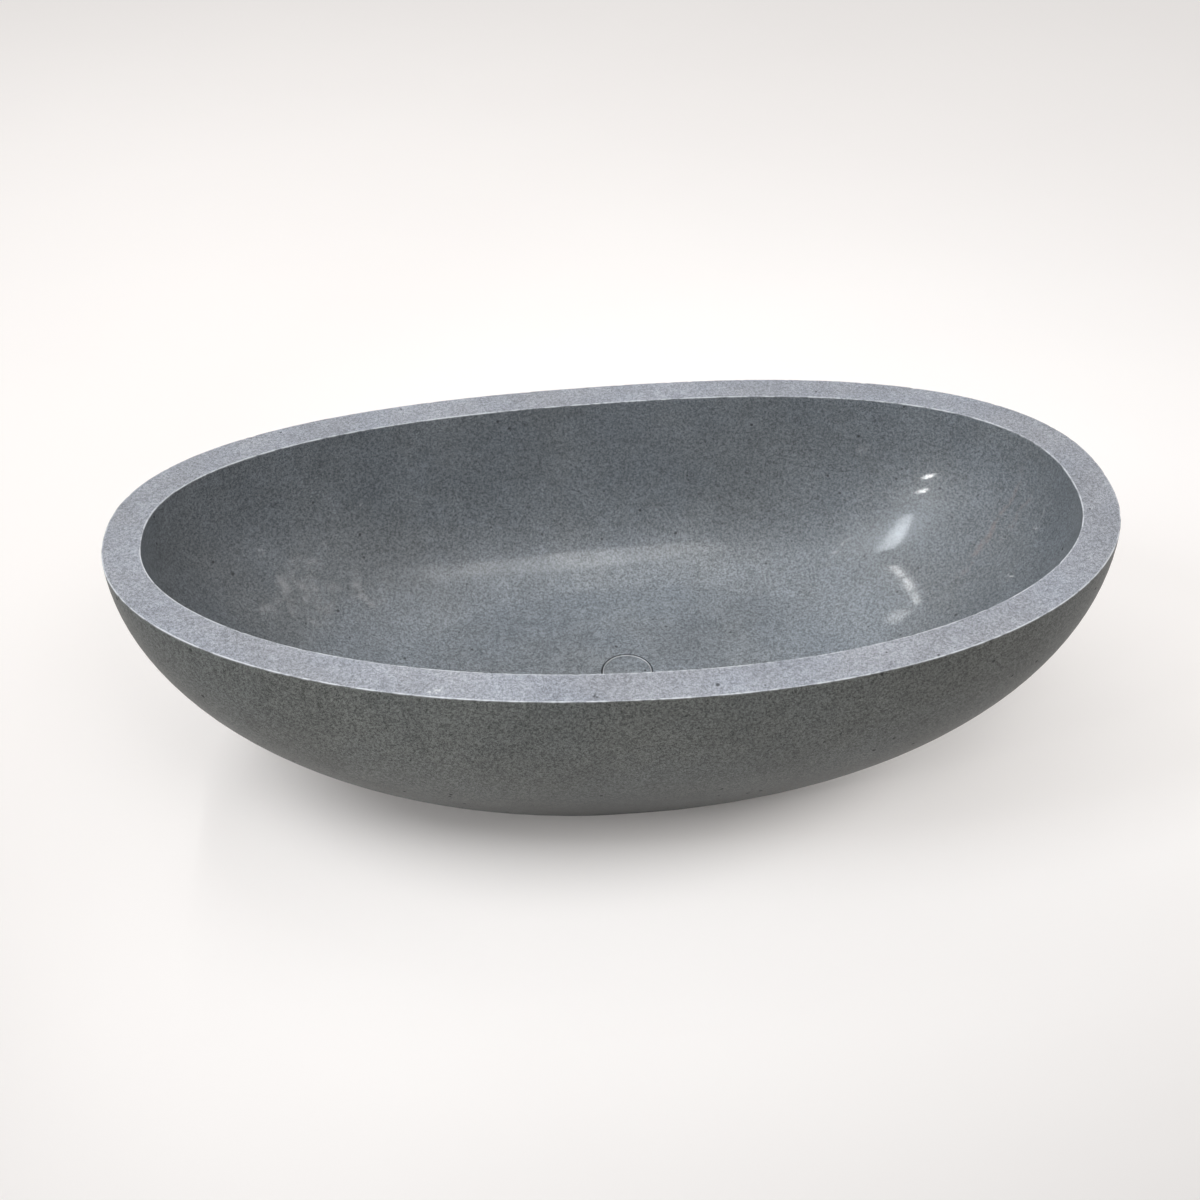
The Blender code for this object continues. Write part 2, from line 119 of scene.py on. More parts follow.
def hull_point(angle, depth):
    """Outer face at a depth of 0 (rim) to 1 (ground)."""
    halves = []
    for half, foot, (power, turn) in zip((HALF_LENGTH, HALF_WIDTH), BASE, HULL_CURVES):
        share = (1 - (1 - (foot / half) ** turn) * depth ** power) ** (1 / turn)
        halves.append(half * share)
    power = RIM_SHAPE[0] + (BASE_SHAPE[0] - RIM_SHAPE[0]) * depth
    taper = RIM_SHAPE[1] + (BASE_SHAPE[1] - RIM_SHAPE[1]) * depth
    flat = egg(angle, *halves, power, taper)
    return Vector((flat.x, flat.y, rim_z(flat.x) * (1 - depth)))


def bowl_point(angle, depth):
    """Inner face at a depth of 0 (rim) to 1 (bath floor)."""
    edge = rim_edge(angle, WALL)
    shares = []
    for half, foot, (power, turn) in zip((HALF_LENGTH, HALF_WIDTH), FLOOR, BOWL_CURVES):
        narrow = foot / (half - WALL)
        shares.append(narrow + (1 - narrow) * (1 - depth ** power) ** (1 / turn))
    top = rim_z(edge.x)
    return Vector((edge.x * shares[0], edge.y * shares[1], top + (FLOOR_Z - top) * depth))


print("outline length", round(sum((rim_edge(math.tau * i / 90, 0) - rim_edge(
    math.tau * (i + 1) / 90, 0)).length for i in range(90)), 3), "m")

# %% [markdown]
# ## One way to make a ring-shaped solid
# A mason carves hull and bowl and softens every arris by hand, and the metal pieces
# of a waste are turned on a lathe. Both kinds are stacks of rings. A Boolean between
# two eggs would leave long thin faces, and a subdivided cage would not hold the flat
# rim. So one circle is extruded again and again, each time onto the next line of the
# piece, and only the rings that are real arrises are bevelled afterwards.

# %% The ring stack and its finishing
DRAIN_SIDES = 96


def circle_at(radius, z):
    """A ring function for a circle around the drain's axis."""
    def point(angle):
        return Vector((DRAIN.x + radius * math.cos(angle), radius * math.sin(angle), z))
    return point


def circles(profile):
    """Rings for the stack from (radius, height, arris radius)."""
    return [(circle_at(radius, z), 0, arris) for radius, z, arris in profile]


def between(first, second, share):
    """A ring function part of the way from one ring to another."""
    def point(angle):
        return first(angle).lerp(second(angle), share)
    return point


def loft(rings, around):
    """Extrude a circle through (ring function, finish, arris radius) and weld what meets."""
    bm = bmesh.new()
    turn = bm.verts.layers.float.new("turn")
    start = bmesh.ops.create_circle(bm, segments=around, radius=1.0)
    for vert in start["verts"]:
        vert[turn] = math.atan2(vert.co.y, vert.co.x)
        vert.co = rings[0][0](vert[turn])
    edges = bm.edges[:]
    arrises = {}
    for point, finish, radius in rings[1:]:
        grown = bmesh.ops.extrude_edge_only(bm, edges=edges)["geom"]
        verts = {item for item in grown if isinstance(item, bmesh.types.BMVert)}
        edges = [
            item for item in grown
            if isinstance(item, bmesh.types.BMEdge) and all(v in verts for v in item.verts)
        ]
        for vert in verts:
            vert.co = point(vert[turn])
        for item in grown:
            if isinstance(item, bmesh.types.BMFace):
                item.material_index = finish
        if radius:
            arrises.setdefault(radius, []).extend(edges)
    bmesh.ops.remove_doubles(bm, verts=bm.verts, dist=0.00001)
    bmesh.ops.recalc_face_normals(bm, faces=bm.faces)
    for radius, found in arrises.items():
        bmesh.ops.bevel(
            bm, geom=[edge for edge in found if edge.is_valid], offset=radius, segments=3,
            profile=0.5, affect="EDGES", material=-1, clamp_overlap=True,
        )
    return bm


def mesh_object(name, bm):
    """Turn a bmesh into an object of the scene."""
    mesh = bpy.data.meshes.new(name)
    bm.to_mesh(mesh)
    bm.free()
    made = bpy.data.objects.new(name, mesh)
    bpy.context.scene.collection.objects.link(made)
    return made


def new_piece(name, bm, body, slot, nodes, materials, smooth_angle=40):
    """Make a bmesh a piece that rides on a body, if one is given, and stands for its CAD nodes."""
    closed = all(edge.is_manifold for edge in bm.edges)
    piece = mesh_object(name, bm)
    for material in materials:
        piece.data.materials.append(material)
    piece.data.shade_smooth()
    piece.data.set_sharp_from_angle(angle=math.radians(smooth_angle))
    if body:
        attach(piece, body)
    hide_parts(*nodes)
    print(f"{name}: {len(piece.data.polygons)} faces, closed: {closed}")
    return piece


# %% [markdown]
# ## Building with nodes
# A finish is a small network of nodes. Short helpers keep the networks readable: they
# add a node and fill or link its inputs, make a named group with its sockets, or start
# and end a material. A group is built once and then placed in every material that
# shows its effect.

# %% Helpers for nodes
def node(tree, kind, inputs=None, **settings):
    """Add a node, make its settings, and set or link its inputs by name or number."""
    made = tree.nodes.new(kind)
    for key, value in settings.items():
        setattr(made, key, value)
    for key, value in (inputs or {}).items():
        if isinstance(value, bpy.types.NodeSocket):
            tree.links.new(value, made.inputs[key])
        else:
            made.inputs[key].default_value = value
    return made


def maths(tree, operation, first, second=0.0, clamp=False):
    return node(
        tree, "ShaderNodeMath", {0: first, 1: second}, operation=operation, use_clamp=clamp
    ).outputs[0]


def times(tree, first, second):
    return maths(tree, "MULTIPLY", first, second)


def plus(tree, first, second):
    return maths(tree, "ADD", first, second)


def vector_maths(tree, operation, inputs, output="Vector"):
    return node(tree, "ShaderNodeVectorMath", inputs, operation=operation).outputs[output]


def remap(tree, value, low, high, to_low=0.0, to_high=1.0):
    """Read a value from low to high as a smooth step from to_low to to_high."""
    return node(
        tree, "ShaderNodeMapRange",
        {"Value": value, "From Min": low, "From Max": high, "To Min": to_low, "To Max": to_high},
        interpolation_type="SMOOTHSTEP",
    ).outputs["Result"]


def mix(tree, share, first, second, blend="MIX"):
    """Mix two colours; in the Mix node the colour sockets are numbers 6 and 7."""
    return node(
        tree, "ShaderNodeMix", {0: share, 6: first, 7: second},
        data_type="RGBA", blend_type=blend,
    ).outputs[2]


def noise_value(tree, place, scale, detail=2.0, roughness=0.5, output="Fac"):
    """Noise from 0 to 1 that fills space, as a number or as a colour."""
    return node(
        tree, "ShaderNodeTexNoise",
        {"Vector": place, "Scale": scale, "Detail": detail, "Roughness": roughness},
    ).outputs[output]


def cell_values(tree, place, scale):
    """Cells that fill space: the distance to a cell's point, and its two random numbers."""
    cells = node(tree, "ShaderNodeTexVoronoi", {"Vector": place, "Scale": scale}).outputs
    chance = node(tree, "ShaderNodeSeparateColor", {0: cells["Color"]}).outputs
    return cells["Distance"], chance[0], chance[1]


def new_group(name, inputs, outputs):
    """Start a group: a place, then inputs (name, kind, value), and outputs (name, kind)."""
    tree = bpy.data.node_groups.new(name, "ShaderNodeTree")
    for socket, kind, value in (("Vector", "Vector", None), *inputs):
        made = tree.interface.new_socket(socket, in_out="INPUT", socket_type="NodeSocket" + kind)
        if value is not None:
            made.default_value = value
    for socket, kind in outputs:
        tree.interface.new_socket(socket, in_out="OUTPUT", socket_type="NodeSocket" + kind)
    return tree, tree.nodes.new("NodeGroupInput").outputs, tree.nodes.new("NodeGroupOutput").inputs


def place_group(tree, group, **inputs):
    return node(tree, "ShaderNodeGroup", inputs, node_tree=group).outputs


def new_material(name):
    """Start a finish: its material, node tree, shader and the object's own coordinates."""
    material = bpy.data.materials.new(name)
    material.use_nodes = True
    tree = material.node_tree
    place = node(tree, "ShaderNodeTexCoord").outputs["Object"]
    return material, tree, tree.nodes["Principled BSDF"], place


def surface(tree, shader, colour, roughness, height, relief, depth):
    """Link a finish's colour, roughness and relief to its shader."""
    bump = node(tree, "ShaderNodeBump", {"Height": height, "Strength": relief, "Distance": depth})
    tree.links.new(colour, shader.inputs["Base Color"])
    tree.links.new(roughness, shader.inputs["Roughness"])
    tree.links.new(bump.outputs["Normal"], shader.inputs["Normal"])


print("helpers ready")

# %% [markdown]
# ## The effects that make stone look like stone
# Basalt is a felt of dark and pale crystals under a millimetre long, which from a
# step away reads as pepper and salt. Gas bubbles leave scattered dark pits, and over a
# hand's breadth the tone drifts. Water, rust and knocks leave marks at single places.
# Each of these is one group, so that every finish shows the same stone.

# %% Grain: dark and pale crystals
GRAIN, given, gives = new_group(
    "stone_grain",
    [("Size", "Float", 0.0015)], [("Tone", "Float"), ("Height", "Float")],
)
per_metre = maths(GRAIN, "DIVIDE", 1.0, given["Size"])
coarse = noise_value(GRAIN, given["Vector"], per_metre, 3.0, 0.75)
crystal_tone = cell_values(GRAIN, given["Vector"], times(GRAIN, per_metre, 1.3))[1]
clumps = noise_value(GRAIN, given["Vector"], times(GRAIN, per_metre, 0.28))
soft = remap(GRAIN, coarse, 0.30, 0.70)
tone = plus(GRAIN, times(GRAIN, soft, 0.40), times(GRAIN, crystal_tone, 0.40))
tone = plus(GRAIN, tone, times(GRAIN, remap(GRAIN, clumps, 0.35, 0.65), 0.20))
GRAIN.links.new(remap(GRAIN, tone, 0.15, 0.85), gives["Tone"])
GRAIN.links.new(coarse, gives["Height"])
print("group", GRAIN.name)

# %% Pits: scattered gas bubbles cut open by the carving
PITS, given, gives = new_group(
    "gas_pits",
    [("Spacing", "Float", 0.016), ("Share", "Float", 0.2)],
    [("Mask", "Float"), ("Height", "Float")],
)
cell_scale = maths(PITS, "DIVIDE", 1.0, given["Spacing"])
distance, first_chance, second_chance = cell_values(PITS, given["Vector"], cell_scale)
present = maths(PITS, "LESS_THAN", first_chance, given["Share"])
size = remap(PITS, second_chance, 0.3, 1.0, 0.03, 0.12)
ragged = noise_value(PITS, given["Vector"], 700.0)
reach = plus(PITS, distance, times(PITS, ragged, 0.05))
inside = maths(PITS, "SUBTRACT", plus(PITS, size, 0.04), reach)
pit = times(PITS, remap(PITS, inside, -0.02, 0.03), present)
PITS.links.new(pit, gives["Mask"])
PITS.links.new(maths(PITS, "SUBTRACT", 1.0, pit), gives["Height"])
print("group", PITS.name)

# %% Drift: slow changes of tone through the block
DRIFT, given, gives = new_group(
    "slow_drift",
    [("Size", "Float", 0.2)], [("Value", "Float"), ("Second", "Float")],
)
drift_scale = maths(DRIFT, "DIVIDE", 1.0, given["Size"])
for output, shift in (("Value", 0.0), ("Second", 7.3)):
    moved = node(
        DRIFT, "ShaderNodeMapping", {"Vector": given["Vector"], "Location": (shift, shift, 0.0)}
    ).outputs["Vector"]
    cloud = noise_value(DRIFT, moved, drift_scale, 5.0, 0.6)
    DRIFT.links.new(remap(DRIFT, cloud, 0.32, 0.68), gives[output])
print("group", DRIFT.name)

# %% Stain: a ragged mark around one place, its outline pushed about by noise
STAIN, given, gives = new_group(
    "local_stain",
    [("Centre", "Vector", None), ("Reach", "Float", 0.05), ("Grain", "Float", 0.006)],
    [("Mask", "Float")],
)
swirl_scale = maths(STAIN, "DIVIDE", 1.6, given["Reach"])
swirl = noise_value(STAIN, given["Vector"], swirl_scale, 3.0, output="Color")
pushed = vector_maths(STAIN, "SUBTRACT", {0: swirl, 1: (0.5, 0.5, 0.5)})
pushed = vector_maths(STAIN, "SCALE", {0: pushed, "Scale": times(STAIN, given["Reach"], 2.6)})
moved = vector_maths(STAIN, "ADD", {0: given["Vector"], 1: pushed})
away = vector_maths(STAIN, "DISTANCE", {0: moved, 1: given["Centre"]}, "Value")
near = maths(STAIN, "SUBTRACT", 1.0, maths(STAIN, "DIVIDE", away, given["Reach"]), clamp=True)
torn = noise_value(STAIN, given["Vector"], maths(STAIN, "DIVIDE", 1.0, given["Grain"]), 4.0, 0.65)
both = plus(STAIN, times(STAIN, near, 0.35), times(STAIN, torn, 0.75))
STAIN.links.new(times(STAIN, remap(STAIN, both, 0.50, 0.74), near), gives["Mask"])
print("group", STAIN.name)

# %% Vein: a thin wandering line through one place, which fades at both ends
VEIN, given, gives = new_group(
    "thin_vein",
    [
        ("Through", "Vector", None), ("Across", "Vector", None),
        ("Width", "Float", 0.006), ("Reach", "Float", 0.2),
    ],
    [("Mask", "Float")],
)
from_middle = vector_maths(VEIN, "SUBTRACT", {0: given["Vector"], 1: given["Through"]})
side = vector_maths(VEIN, "DOT_PRODUCT", {0: from_middle, 1: given["Across"]}, "Value")
wander = noise_value(VEIN, given["Vector"], 14.0, 3.0)
side = plus(VEIN, side, times(VEIN, maths(VEIN, "SUBTRACT", wander, 0.5), 0.05))
line = remap(VEIN, maths(VEIN, "ABSOLUTE", side), 0.0, given["Width"], 1.0, 0.0)
length = vector_maths(VEIN, "LENGTH", {0: from_middle}, "Value")
fade = remap(VEIN, length, 0.0, given["Reach"], 1.0, 0.0)
broken = noise_value(VEIN, given["Vector"], 60.0, 3.0)
vein = times(VEIN, times(VEIN, line, fade), remap(VEIN, broken, 0.35, 0.65))
VEIN.links.new(vein, gives["Mask"])
print("group", VEIN.name)

# %% [markdown]
# ## The finishes of the stone
# One stone shows four finishes. The rim is honed flat, so its broken crystals scatter
# the light and it looks pale. The bowl is rubbed smoother and sealed, which deepens the
# stone and lets it mirror lamps. The hull is smooth without a seal, and the underside is
# as sawn. A function builds what they share, and each finish then adds its own marks.

# %% What every finish of the stone shares
ARRIS = "arris"
GRAIN_SIZE = 0.0015
PIT_SPACING, SPECK_SPACING, CHIP_SPACING = 0.026, 0.008, 0.016


def marked(tree, colour, mask, share, tone):
    """Lay a tone over a colour where a mask says."""
    return mix(tree, times(tree, mask, share), colour, (*tone, 1.0))


def basalt(name, dark, pale, rough, pit_share, relief):
    """Grain, pits and drift in one Principled material; returns what the marks build on."""
    material, tree, shader, place = new_material(name)
    grain = place_group(tree, GRAIN, Vector=place, Size=GRAIN_SIZE)
    pits = place_group(tree, PITS, Vector=place, Spacing=PIT_SPACING, Share=pit_share)
    specks = place_group(tree, PITS, Vector=place, Spacing=SPECK_SPACING, Share=0.35)
    drift = place_group(tree, DRIFT, Vector=place, Size=0.22)
    patches = place_group(tree, DRIFT, Vector=place, Size=0.035)
    colour = mix(tree, grain["Tone"], (*dark, 1.0), (*pale, 1.0))
    shade = remap(tree, drift["Value"], 0.0, 1.0, 0.93, 1.06)
    shade = times(tree, shade, remap(tree, patches["Value"], 0.0, 1.0, 0.95, 1.05))
    tinted = mix(tree, drift["Second"], (0.985, 1.00, 1.02, 1.0), (1.01, 1.00, 0.985, 1.0))
    colour = mix(tree, 1.0, colour, tinted, "MULTIPLY")
    grey = node(tree, "ShaderNodeCombineColor", {0: shade, 1: shade, 2: shade}).outputs[0]
    colour = mix(tree, 1.0, colour, grey, "MULTIPLY")
    colour = marked(tree, colour, pits["Mask"], 0.75, (0.02, 0.021, 0.022))
    colour = marked(tree, colour, specks["Mask"], 0.40, (0.03, 0.031, 0.03))
    roughness = remap(tree, grain["Tone"], 0.0, 1.0, rough - 0.05, rough + 0.05)
    roughness = plus(tree, roughness, times(tree, pits["Mask"], 0.3))
    height = plus(tree, grain["Height"], times(tree, pits["Height"], 2.0))
    surface(tree, shader, colour, roughness, height, relief, 0.0006)
    return material, tree, shader, place, colour


def arris_wear_and_highlight(tree, place, colour, strength, tone):
    """Lighten the arrises, partly as bruised stone and partly as a painted highlight, and dot them with
    fresh chips.
    """
    edge = node(tree, "ShaderNodeAttribute", attribute_name=ARRIS).outputs["Fac"]
    bruise = place_group(tree, DRIFT, Vector=place, Size=0.03)["Value"]
    # Bruising and a painted highlight: the arrises are lightened in colour where light glints off the
    # bevel.
    bruised_and_lit = times(tree, remap(tree, edge, 0.0, 0.6), remap(tree, bruise, 0.1, 0.7, 0.2, 1.0))
    colour = marked(tree, colour, bruised_and_lit, strength, tone)
    chips = place_group(tree, PITS, Vector=place, Spacing=CHIP_SPACING, Share=0.14)["Mask"]
    fresh = times(tree, chips, remap(tree, edge, 0.1, 0.5))
    return marked(tree, colour, fresh, 0.9, (0.60, 0.61, 0.62))


# %% The honed rim, with two pale chips and a dark slot
honed, tree, shader, place, colour = basalt(
    "basalt_honed_rim", (0.140, 0.145, 0.160), (0.405, 0.420, 0.458), 0.62, 0.25, relief=0.08
)
colour = arris_wear_and_highlight(tree, place, colour, 0.85, (0.62, 0.635, 0.66))
for centre, reach, grain, share, tone in (
    ((-0.332, -0.418, 0.473), 0.016, 0.004, 1.0, (0.66, 0.67, 0.68)),
    ((-0.287, -0.372, 0.472), 0.014, 0.003, 1.0, (0.66, 0.67, 0.68)),
    ((-0.087, -0.448, 0.468), 0.010, 0.040, 1.0, (0.02, 0.02, 0.02)),
):
    stain = place_group(tree, STAIN, Vector=place, Centre=centre, Reach=reach, Grain=grain)
    colour = marked(tree, colour, stain["Mask"], share, tone)
tree.links.new(colour, shader.inputs["Base Color"])
shader.inputs["Specular IOR Level"].default_value = 0.25
print("finish", honed.name)

# %% The sealed bowl: painted light on its floor, lime where water stood, and a rusty vein
satin, tree, shader, place, colour = basalt(
    "basalt_satin_bowl", (0.044, 0.050, 0.055), (0.236, 0.254, 0.270), 0.40, 0.55, relief=0.06
)
# Painted light: the bowl's floor is brightened in colour, standing in for the light and sheen it catches
# from above.
height = node(tree, "ShaderNodeSeparateXYZ", {"Vector": place}).outputs["Z"]
low_down = remap(tree, height, FLOOR_Z + 0.11, FLOOR_Z + 0.005)
painted_floor_sheen = place_group(tree, DRIFT, Vector=place, Size=0.3)["Value"]
painted_floor_sheen = times(tree, low_down, remap(tree, painted_floor_sheen, 0.0, 1.0, 0.75, 1.0))
lit_floor_colour = mix(tree, 1.0, colour, (1.42, 1.42, 1.43, 1.0), "MULTIPLY")
colour = mix(tree, painted_floor_sheen, colour, lit_floor_colour)
LIME, RUST = (0.46, 0.46, 0.46), (0.27, 0.205, 0.185)
for centre, reach, grain, share in (
    ((-0.62, 0.15, 0.23), 0.085, 0.002, 0.60), ((-0.56, 0.18, 0.22), 0.085, 0.002, 0.55),
    ((-0.49, 0.21, 0.19), 0.075, 0.002, 0.50), ((-0.60, 0.22, 0.24), 0.065, 0.002, 0.60),
    ((-0.67, 0.19, 0.31), 0.018, 0.004, 0.60), ((-0.48, 0.31, 0.32), 0.010, 0.004, 0.50),
    ((0.80, 0.03, 0.37), 0.016, 0.006, 1.00), ((0.75, -0.02, 0.30), 0.016, 0.006, 1.00),
    ((0.54, 0.32, 0.37), 0.035, 0.005, 0.30), ((0.35, -0.25, 0.20), 0.060, 0.004, 0.35),
):
    stain = place_group(tree, STAIN, Vector=place, Centre=centre, Reach=reach, Grain=grain)
    colour = marked(tree, colour, stain["Mask"], share, LIME)
for through, across, width, reach, share, tone in (
    ((0.755, 0.100, 0.322), (-0.380, 0.919, -0.109), 0.010, 0.17, 0.50, RUST),
    ((0.775, 0.075, 0.350), (-0.380, 0.919, -0.109), 0.004, 0.10, 0.40, RUST),
    ((0.490, 0.230, 0.185), (0.100, 0.700, -0.700), 0.003, 0.05, 0.60, LIME),
    ((0.820, 0.040, 0.400), (0.300, 0.950, 0.000), 0.003, 0.05, 0.35, LIME),
    ((-0.20, -0.30, 0.200), (0.600, 0.750, 0.200), 0.004, 0.22, 0.30, LIME),
):
    vein = place_group(tree, VEIN, Vector=place, Through=through, Across=across, Width=width, Reach=reach)
    colour = marked(tree, colour, vein["Mask"], share, tone)
colour = arris_wear_and_highlight(tree, place, colour, 0.90, (0.50, 0.51, 0.53))
tree.links.new(colour, shader.inputs["Base Color"])
shader.inputs["Coat Roughness"].default_value = 0.085
shader.inputs["Coat IOR"].default_value = 1.45
seal = place_group(tree, DRIFT, Vector=place, Size=0.09)["Value"]
tree.links.new(remap(tree, seal, 0.0, 1.0, 0.22, 0.42), shader.inputs["Coat Weight"])
print("finish", satin.name)

# %% The smooth hull, with level streaks from the pad towards the foot, and painted shade low down
smooth, tree, shader, place, colour = basalt(
    "basalt_smooth_hull", (0.012, 0.0130, 0.0122), (0.150, 0.158, 0.151), 0.50, 0.60, relief=0.08
)
drawn = node(tree, "ShaderNodeMapping", {"Vector": place, "Scale": (9.0, 9.0, 300.0)}).outputs[0]
streaks = noise_value(tree, drawn, 1.0, 3.0)
height = node(tree, "ShaderNodeSeparateXYZ", {"Vector": place}).outputs["Z"]
streaked = times(tree, remap(tree, streaks, 0.4, 0.7), remap(tree, height, 0.22, 0.04))
colour = marked(tree, colour, streaked, 0.30, (0.045, 0.045, 0.043))
# Painted shade: the hull's colour darkens towards its foot, where it faces the floor.
painted_shade_colour = mix(tree, 1.0, colour, (0.62, 0.61, 0.60, 1.0), "MULTIPLY")
colour = mix(tree, remap(tree, height, 0.26, 0.04), colour, painted_shade_colour)
vein = place_group(
    tree, VEIN, Vector=place, Through=(0.25, 0.46, 0.36), Across=(0.55, 0.0, 0.83), Width=0.005, Reach=0.22
)
colour = marked(tree, colour, vein["Mask"], 0.4, RUST)
colour = arris_wear_and_highlight(tree, place, colour, 0.45, (0.46, 0.47, 0.49))
tree.links.new(colour, shader.inputs["Base Color"])
shader.inputs["Specular IOR Level"].default_value = 0.3
print("finish", smooth.name)

# %% The sawn underside
sawn = basalt(
    "basalt_sawn_foot", (0.10, 0.104, 0.104), (0.26, 0.265, 0.265), 0.85, 0.30, relief=0.40
)[0]
print("finish", sawn.name)

# %% [markdown]
# ## The block
# The stack starts in the drain's hole and runs over the floor, up the bowl, across
# the rim, down the hull, over the foot and back through the service pocket. A few
# rings lie close to each rim arris, so that its wear and painted highlight stay a thin line.

# %% Heights and radii of the drain's cuts
CAP_JOINT = 0.003
SEAT_STONE = 0.033
POCKET_RADIUS = 0.075
HOLE_RADIUS = 0.0255
GAP = 0.0003
FLANGE_RADIUS = (waste_high.x - waste_low.x) / 2
FLANGE_TOP = waste_high.z
SEAT_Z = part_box("flange_gasket")[0].z - GAP
POCKET_Z = SEAT_Z - SEAT_STONE
JOINT_RADIUS = CAP_RADIUS + CAP_JOINT
print(f"joint radius {JOINT_RADIUS:.4f}, seat {SEAT_Z:.4f}, pocket ceiling {POCKET_Z:.4f}")


# %% The rings, each with its finish and the radius of its arris
def at_depth(face, depth):
    def point(angle):
        return face(angle, depth)
    return point


RIM, INSIDE, OUTSIDE, SAWN = range(4)
FLOOR_STEPS, BOWL_STEPS, HULL_STEPS = 7, 32, 28
BY_THE_ARRIS = 0.008

rings = [
    (circle_at(HOLE_RADIUS, SEAT_Z), INSIDE, 0.0),
    (circle_at(FLANGE_RADIUS + GAP, SEAT_Z), INSIDE, 0.0),
    (circle_at(FLANGE_RADIUS + GAP, FLANGE_TOP), INSIDE, 0.0006),
    (circle_at(JOINT_RADIUS, FLANGE_TOP), INSIDE, 0.0),
    (circle_at(JOINT_RADIUS, FLOOR_Z), INSIDE, 0.0008),
]
joint_ring = rings[-1][0]
floor_ring = at_depth(bowl_point, 1.0)
for step in range(1, FLOOR_STEPS + 1):
    rings.append((between(joint_ring, floor_ring, (step / FLOOR_STEPS) ** 1.4), INSIDE, 0.0))
for step in range(BOWL_STEPS - 1, 0, -1):
    rings.append((at_depth(bowl_point, math.sin(math.pi / 2 * step / BOWL_STEPS)), INSIDE, 0.0))
inner_arris, outer_arris = at_depth(bowl_point, 0.0), at_depth(hull_point, 0.0)
rings.append((at_depth(bowl_point, BY_THE_ARRIS), INSIDE, 0.0))
rings.append((inner_arris, INSIDE, 0.0010))
for share in (0.055, 0.3, 0.7, 0.945):
    rings.append((between(inner_arris, outer_arris, share), RIM, 0.0))
rings.append((outer_arris, RIM, 0.0013))
rings.append((at_depth(hull_point, BY_THE_ARRIS), OUTSIDE, 0.0))
for step in range(1, HULL_STEPS):
    rings.append((at_depth(hull_point, step / HULL_STEPS), OUTSIDE, 0.0))
foot_ring = at_depth(hull_point, 1.0)
pocket_mouth = circle_at(POCKET_RADIUS, 0.0)
rings.append((foot_ring, OUTSIDE, 0.004))
for share in (0.15, 0.5):
    rings.append((between(foot_ring, pocket_mouth, share), SAWN, 0.0))
rings.append((pocket_mouth, SAWN, 0.002))
rings.append((circle_at(POCKET_RADIUS, POCKET_Z), SAWN, 0.0))
rings.append((circle_at(HOLE_RADIUS, POCKET_Z), SAWN, 0.0008))
rings.append((rings[0][0], SAWN, 0.0))
print(len(rings), "rings of", AROUND, "points")

# %% [markdown]
# ## Handwork
# A polishing pad never leaves a perfect surface. Its wander is only a few tenths of a
# millimetre, but it breaks the reflections up, so it is in the mesh. The moves go into
# the stone, never out of it, so the block keeps its sizes. The rim's arrises carry
# small nicks from moving a block of almost half a tonne.

# %% Wander and nicks
LINE_POINTS = 1400
ARRIS_REACH = 0.0032
NEAR_DRAIN, FOOT_ZONE = POCKET_RADIUS + 0.02, 0.006
WANDER = 0.00022
BLEND_ROUNDS, BLEND_HEIGHT = 25, 0.045
NICKS, NICK_REACH, NICK_DEPTH = 70, (0.004, 0.010), (0.0004, 0.0014)


def rim_line(inset):
    """Points of a line along the rim."""
    line = []
    for i in range(LINE_POINTS):
        flat = rim_edge(math.tau * i / LINE_POINTS, inset)
        line.append(Vector((flat.x, flat.y, rim_z(flat.x))))
    return line


def hand_worked(bm):
    """Mark the arrises, let the faces wander, ease the floor into the walls, and nick the rim."""
    lines = rim_line(0.0) + rim_line(WALL)
    tree = kdtree.KDTree(len(lines))
    for i, point in enumerate(lines):
        tree.insert(point, i)
    tree.balance()
    wear = bm.verts.layers.float.new(ARRIS)
    bm.normal_update()
    for vert in bm.verts:
        gap = tree.find(vert.co)[2]
        vert[wear] = max(0.0, 1.0 - gap / ARRIS_REACH)
        if (vert.co.xy - DRAIN).length < NEAR_DRAIN or vert.co.z < FOOT_ZONE:
            continue
        slow = noise.noise(vert.co * 7.0) + 0.5 * noise.noise(vert.co * 17.0)
        vert.co -= vert.normal * WANDER * (1.5 + slow)
    edge_of_floor = [
        vert for vert in bm.verts
        if FLOOR_Z - 0.001 < vert.co.z < FLOOR_Z + BLEND_HEIGHT
        and (vert.co.xy - DRAIN).length > NEAR_DRAIN
        and abs(vert.co.x) < 0.7 and abs(vert.co.y) < 0.35 and vert.normal.z > 0.3
    ]
    for _ in range(BLEND_ROUNDS):
        bmesh.ops.smooth_vert(
            bm, verts=edge_of_floor, factor=0.5, use_axis_x=True, use_axis_y=True, use_axis_z=True
        )
    draw = random.Random(11)
    spots = kdtree.KDTree(len(bm.verts))
    for vert in bm.verts:
        spots.insert(vert.co, vert.index)
    spots.balance()
    bm.verts.ensure_lookup_table()
    for _ in range(NICKS):
        centre = draw.choice(lines)
        reach = draw.uniform(*NICK_REACH)
        depth = draw.uniform(*NICK_DEPTH)
        for _, index, gap in spots.find_range(centre, reach):
            vert = bm.verts[index]
            vert.co -= vert.normal * depth * (1 - gap / reach)
    return bm


block = hand_worked(loft(rings, AROUND))
new_piece("bath_block", block, "tub", "basalt", ["tub_shell"], [honed, satin, smooth, sawn])

# %% [markdown]
# ## Finishes of the waste
# Turned metal keeps fine rings from the tool, all around its axis. A group makes them
# from the distance to the drain's axis and the height alone, so they run around every
# turned piece without a map. Brass also tarnishes in clouds, and rubber and plastic
# carry the faint texture of their moulds.

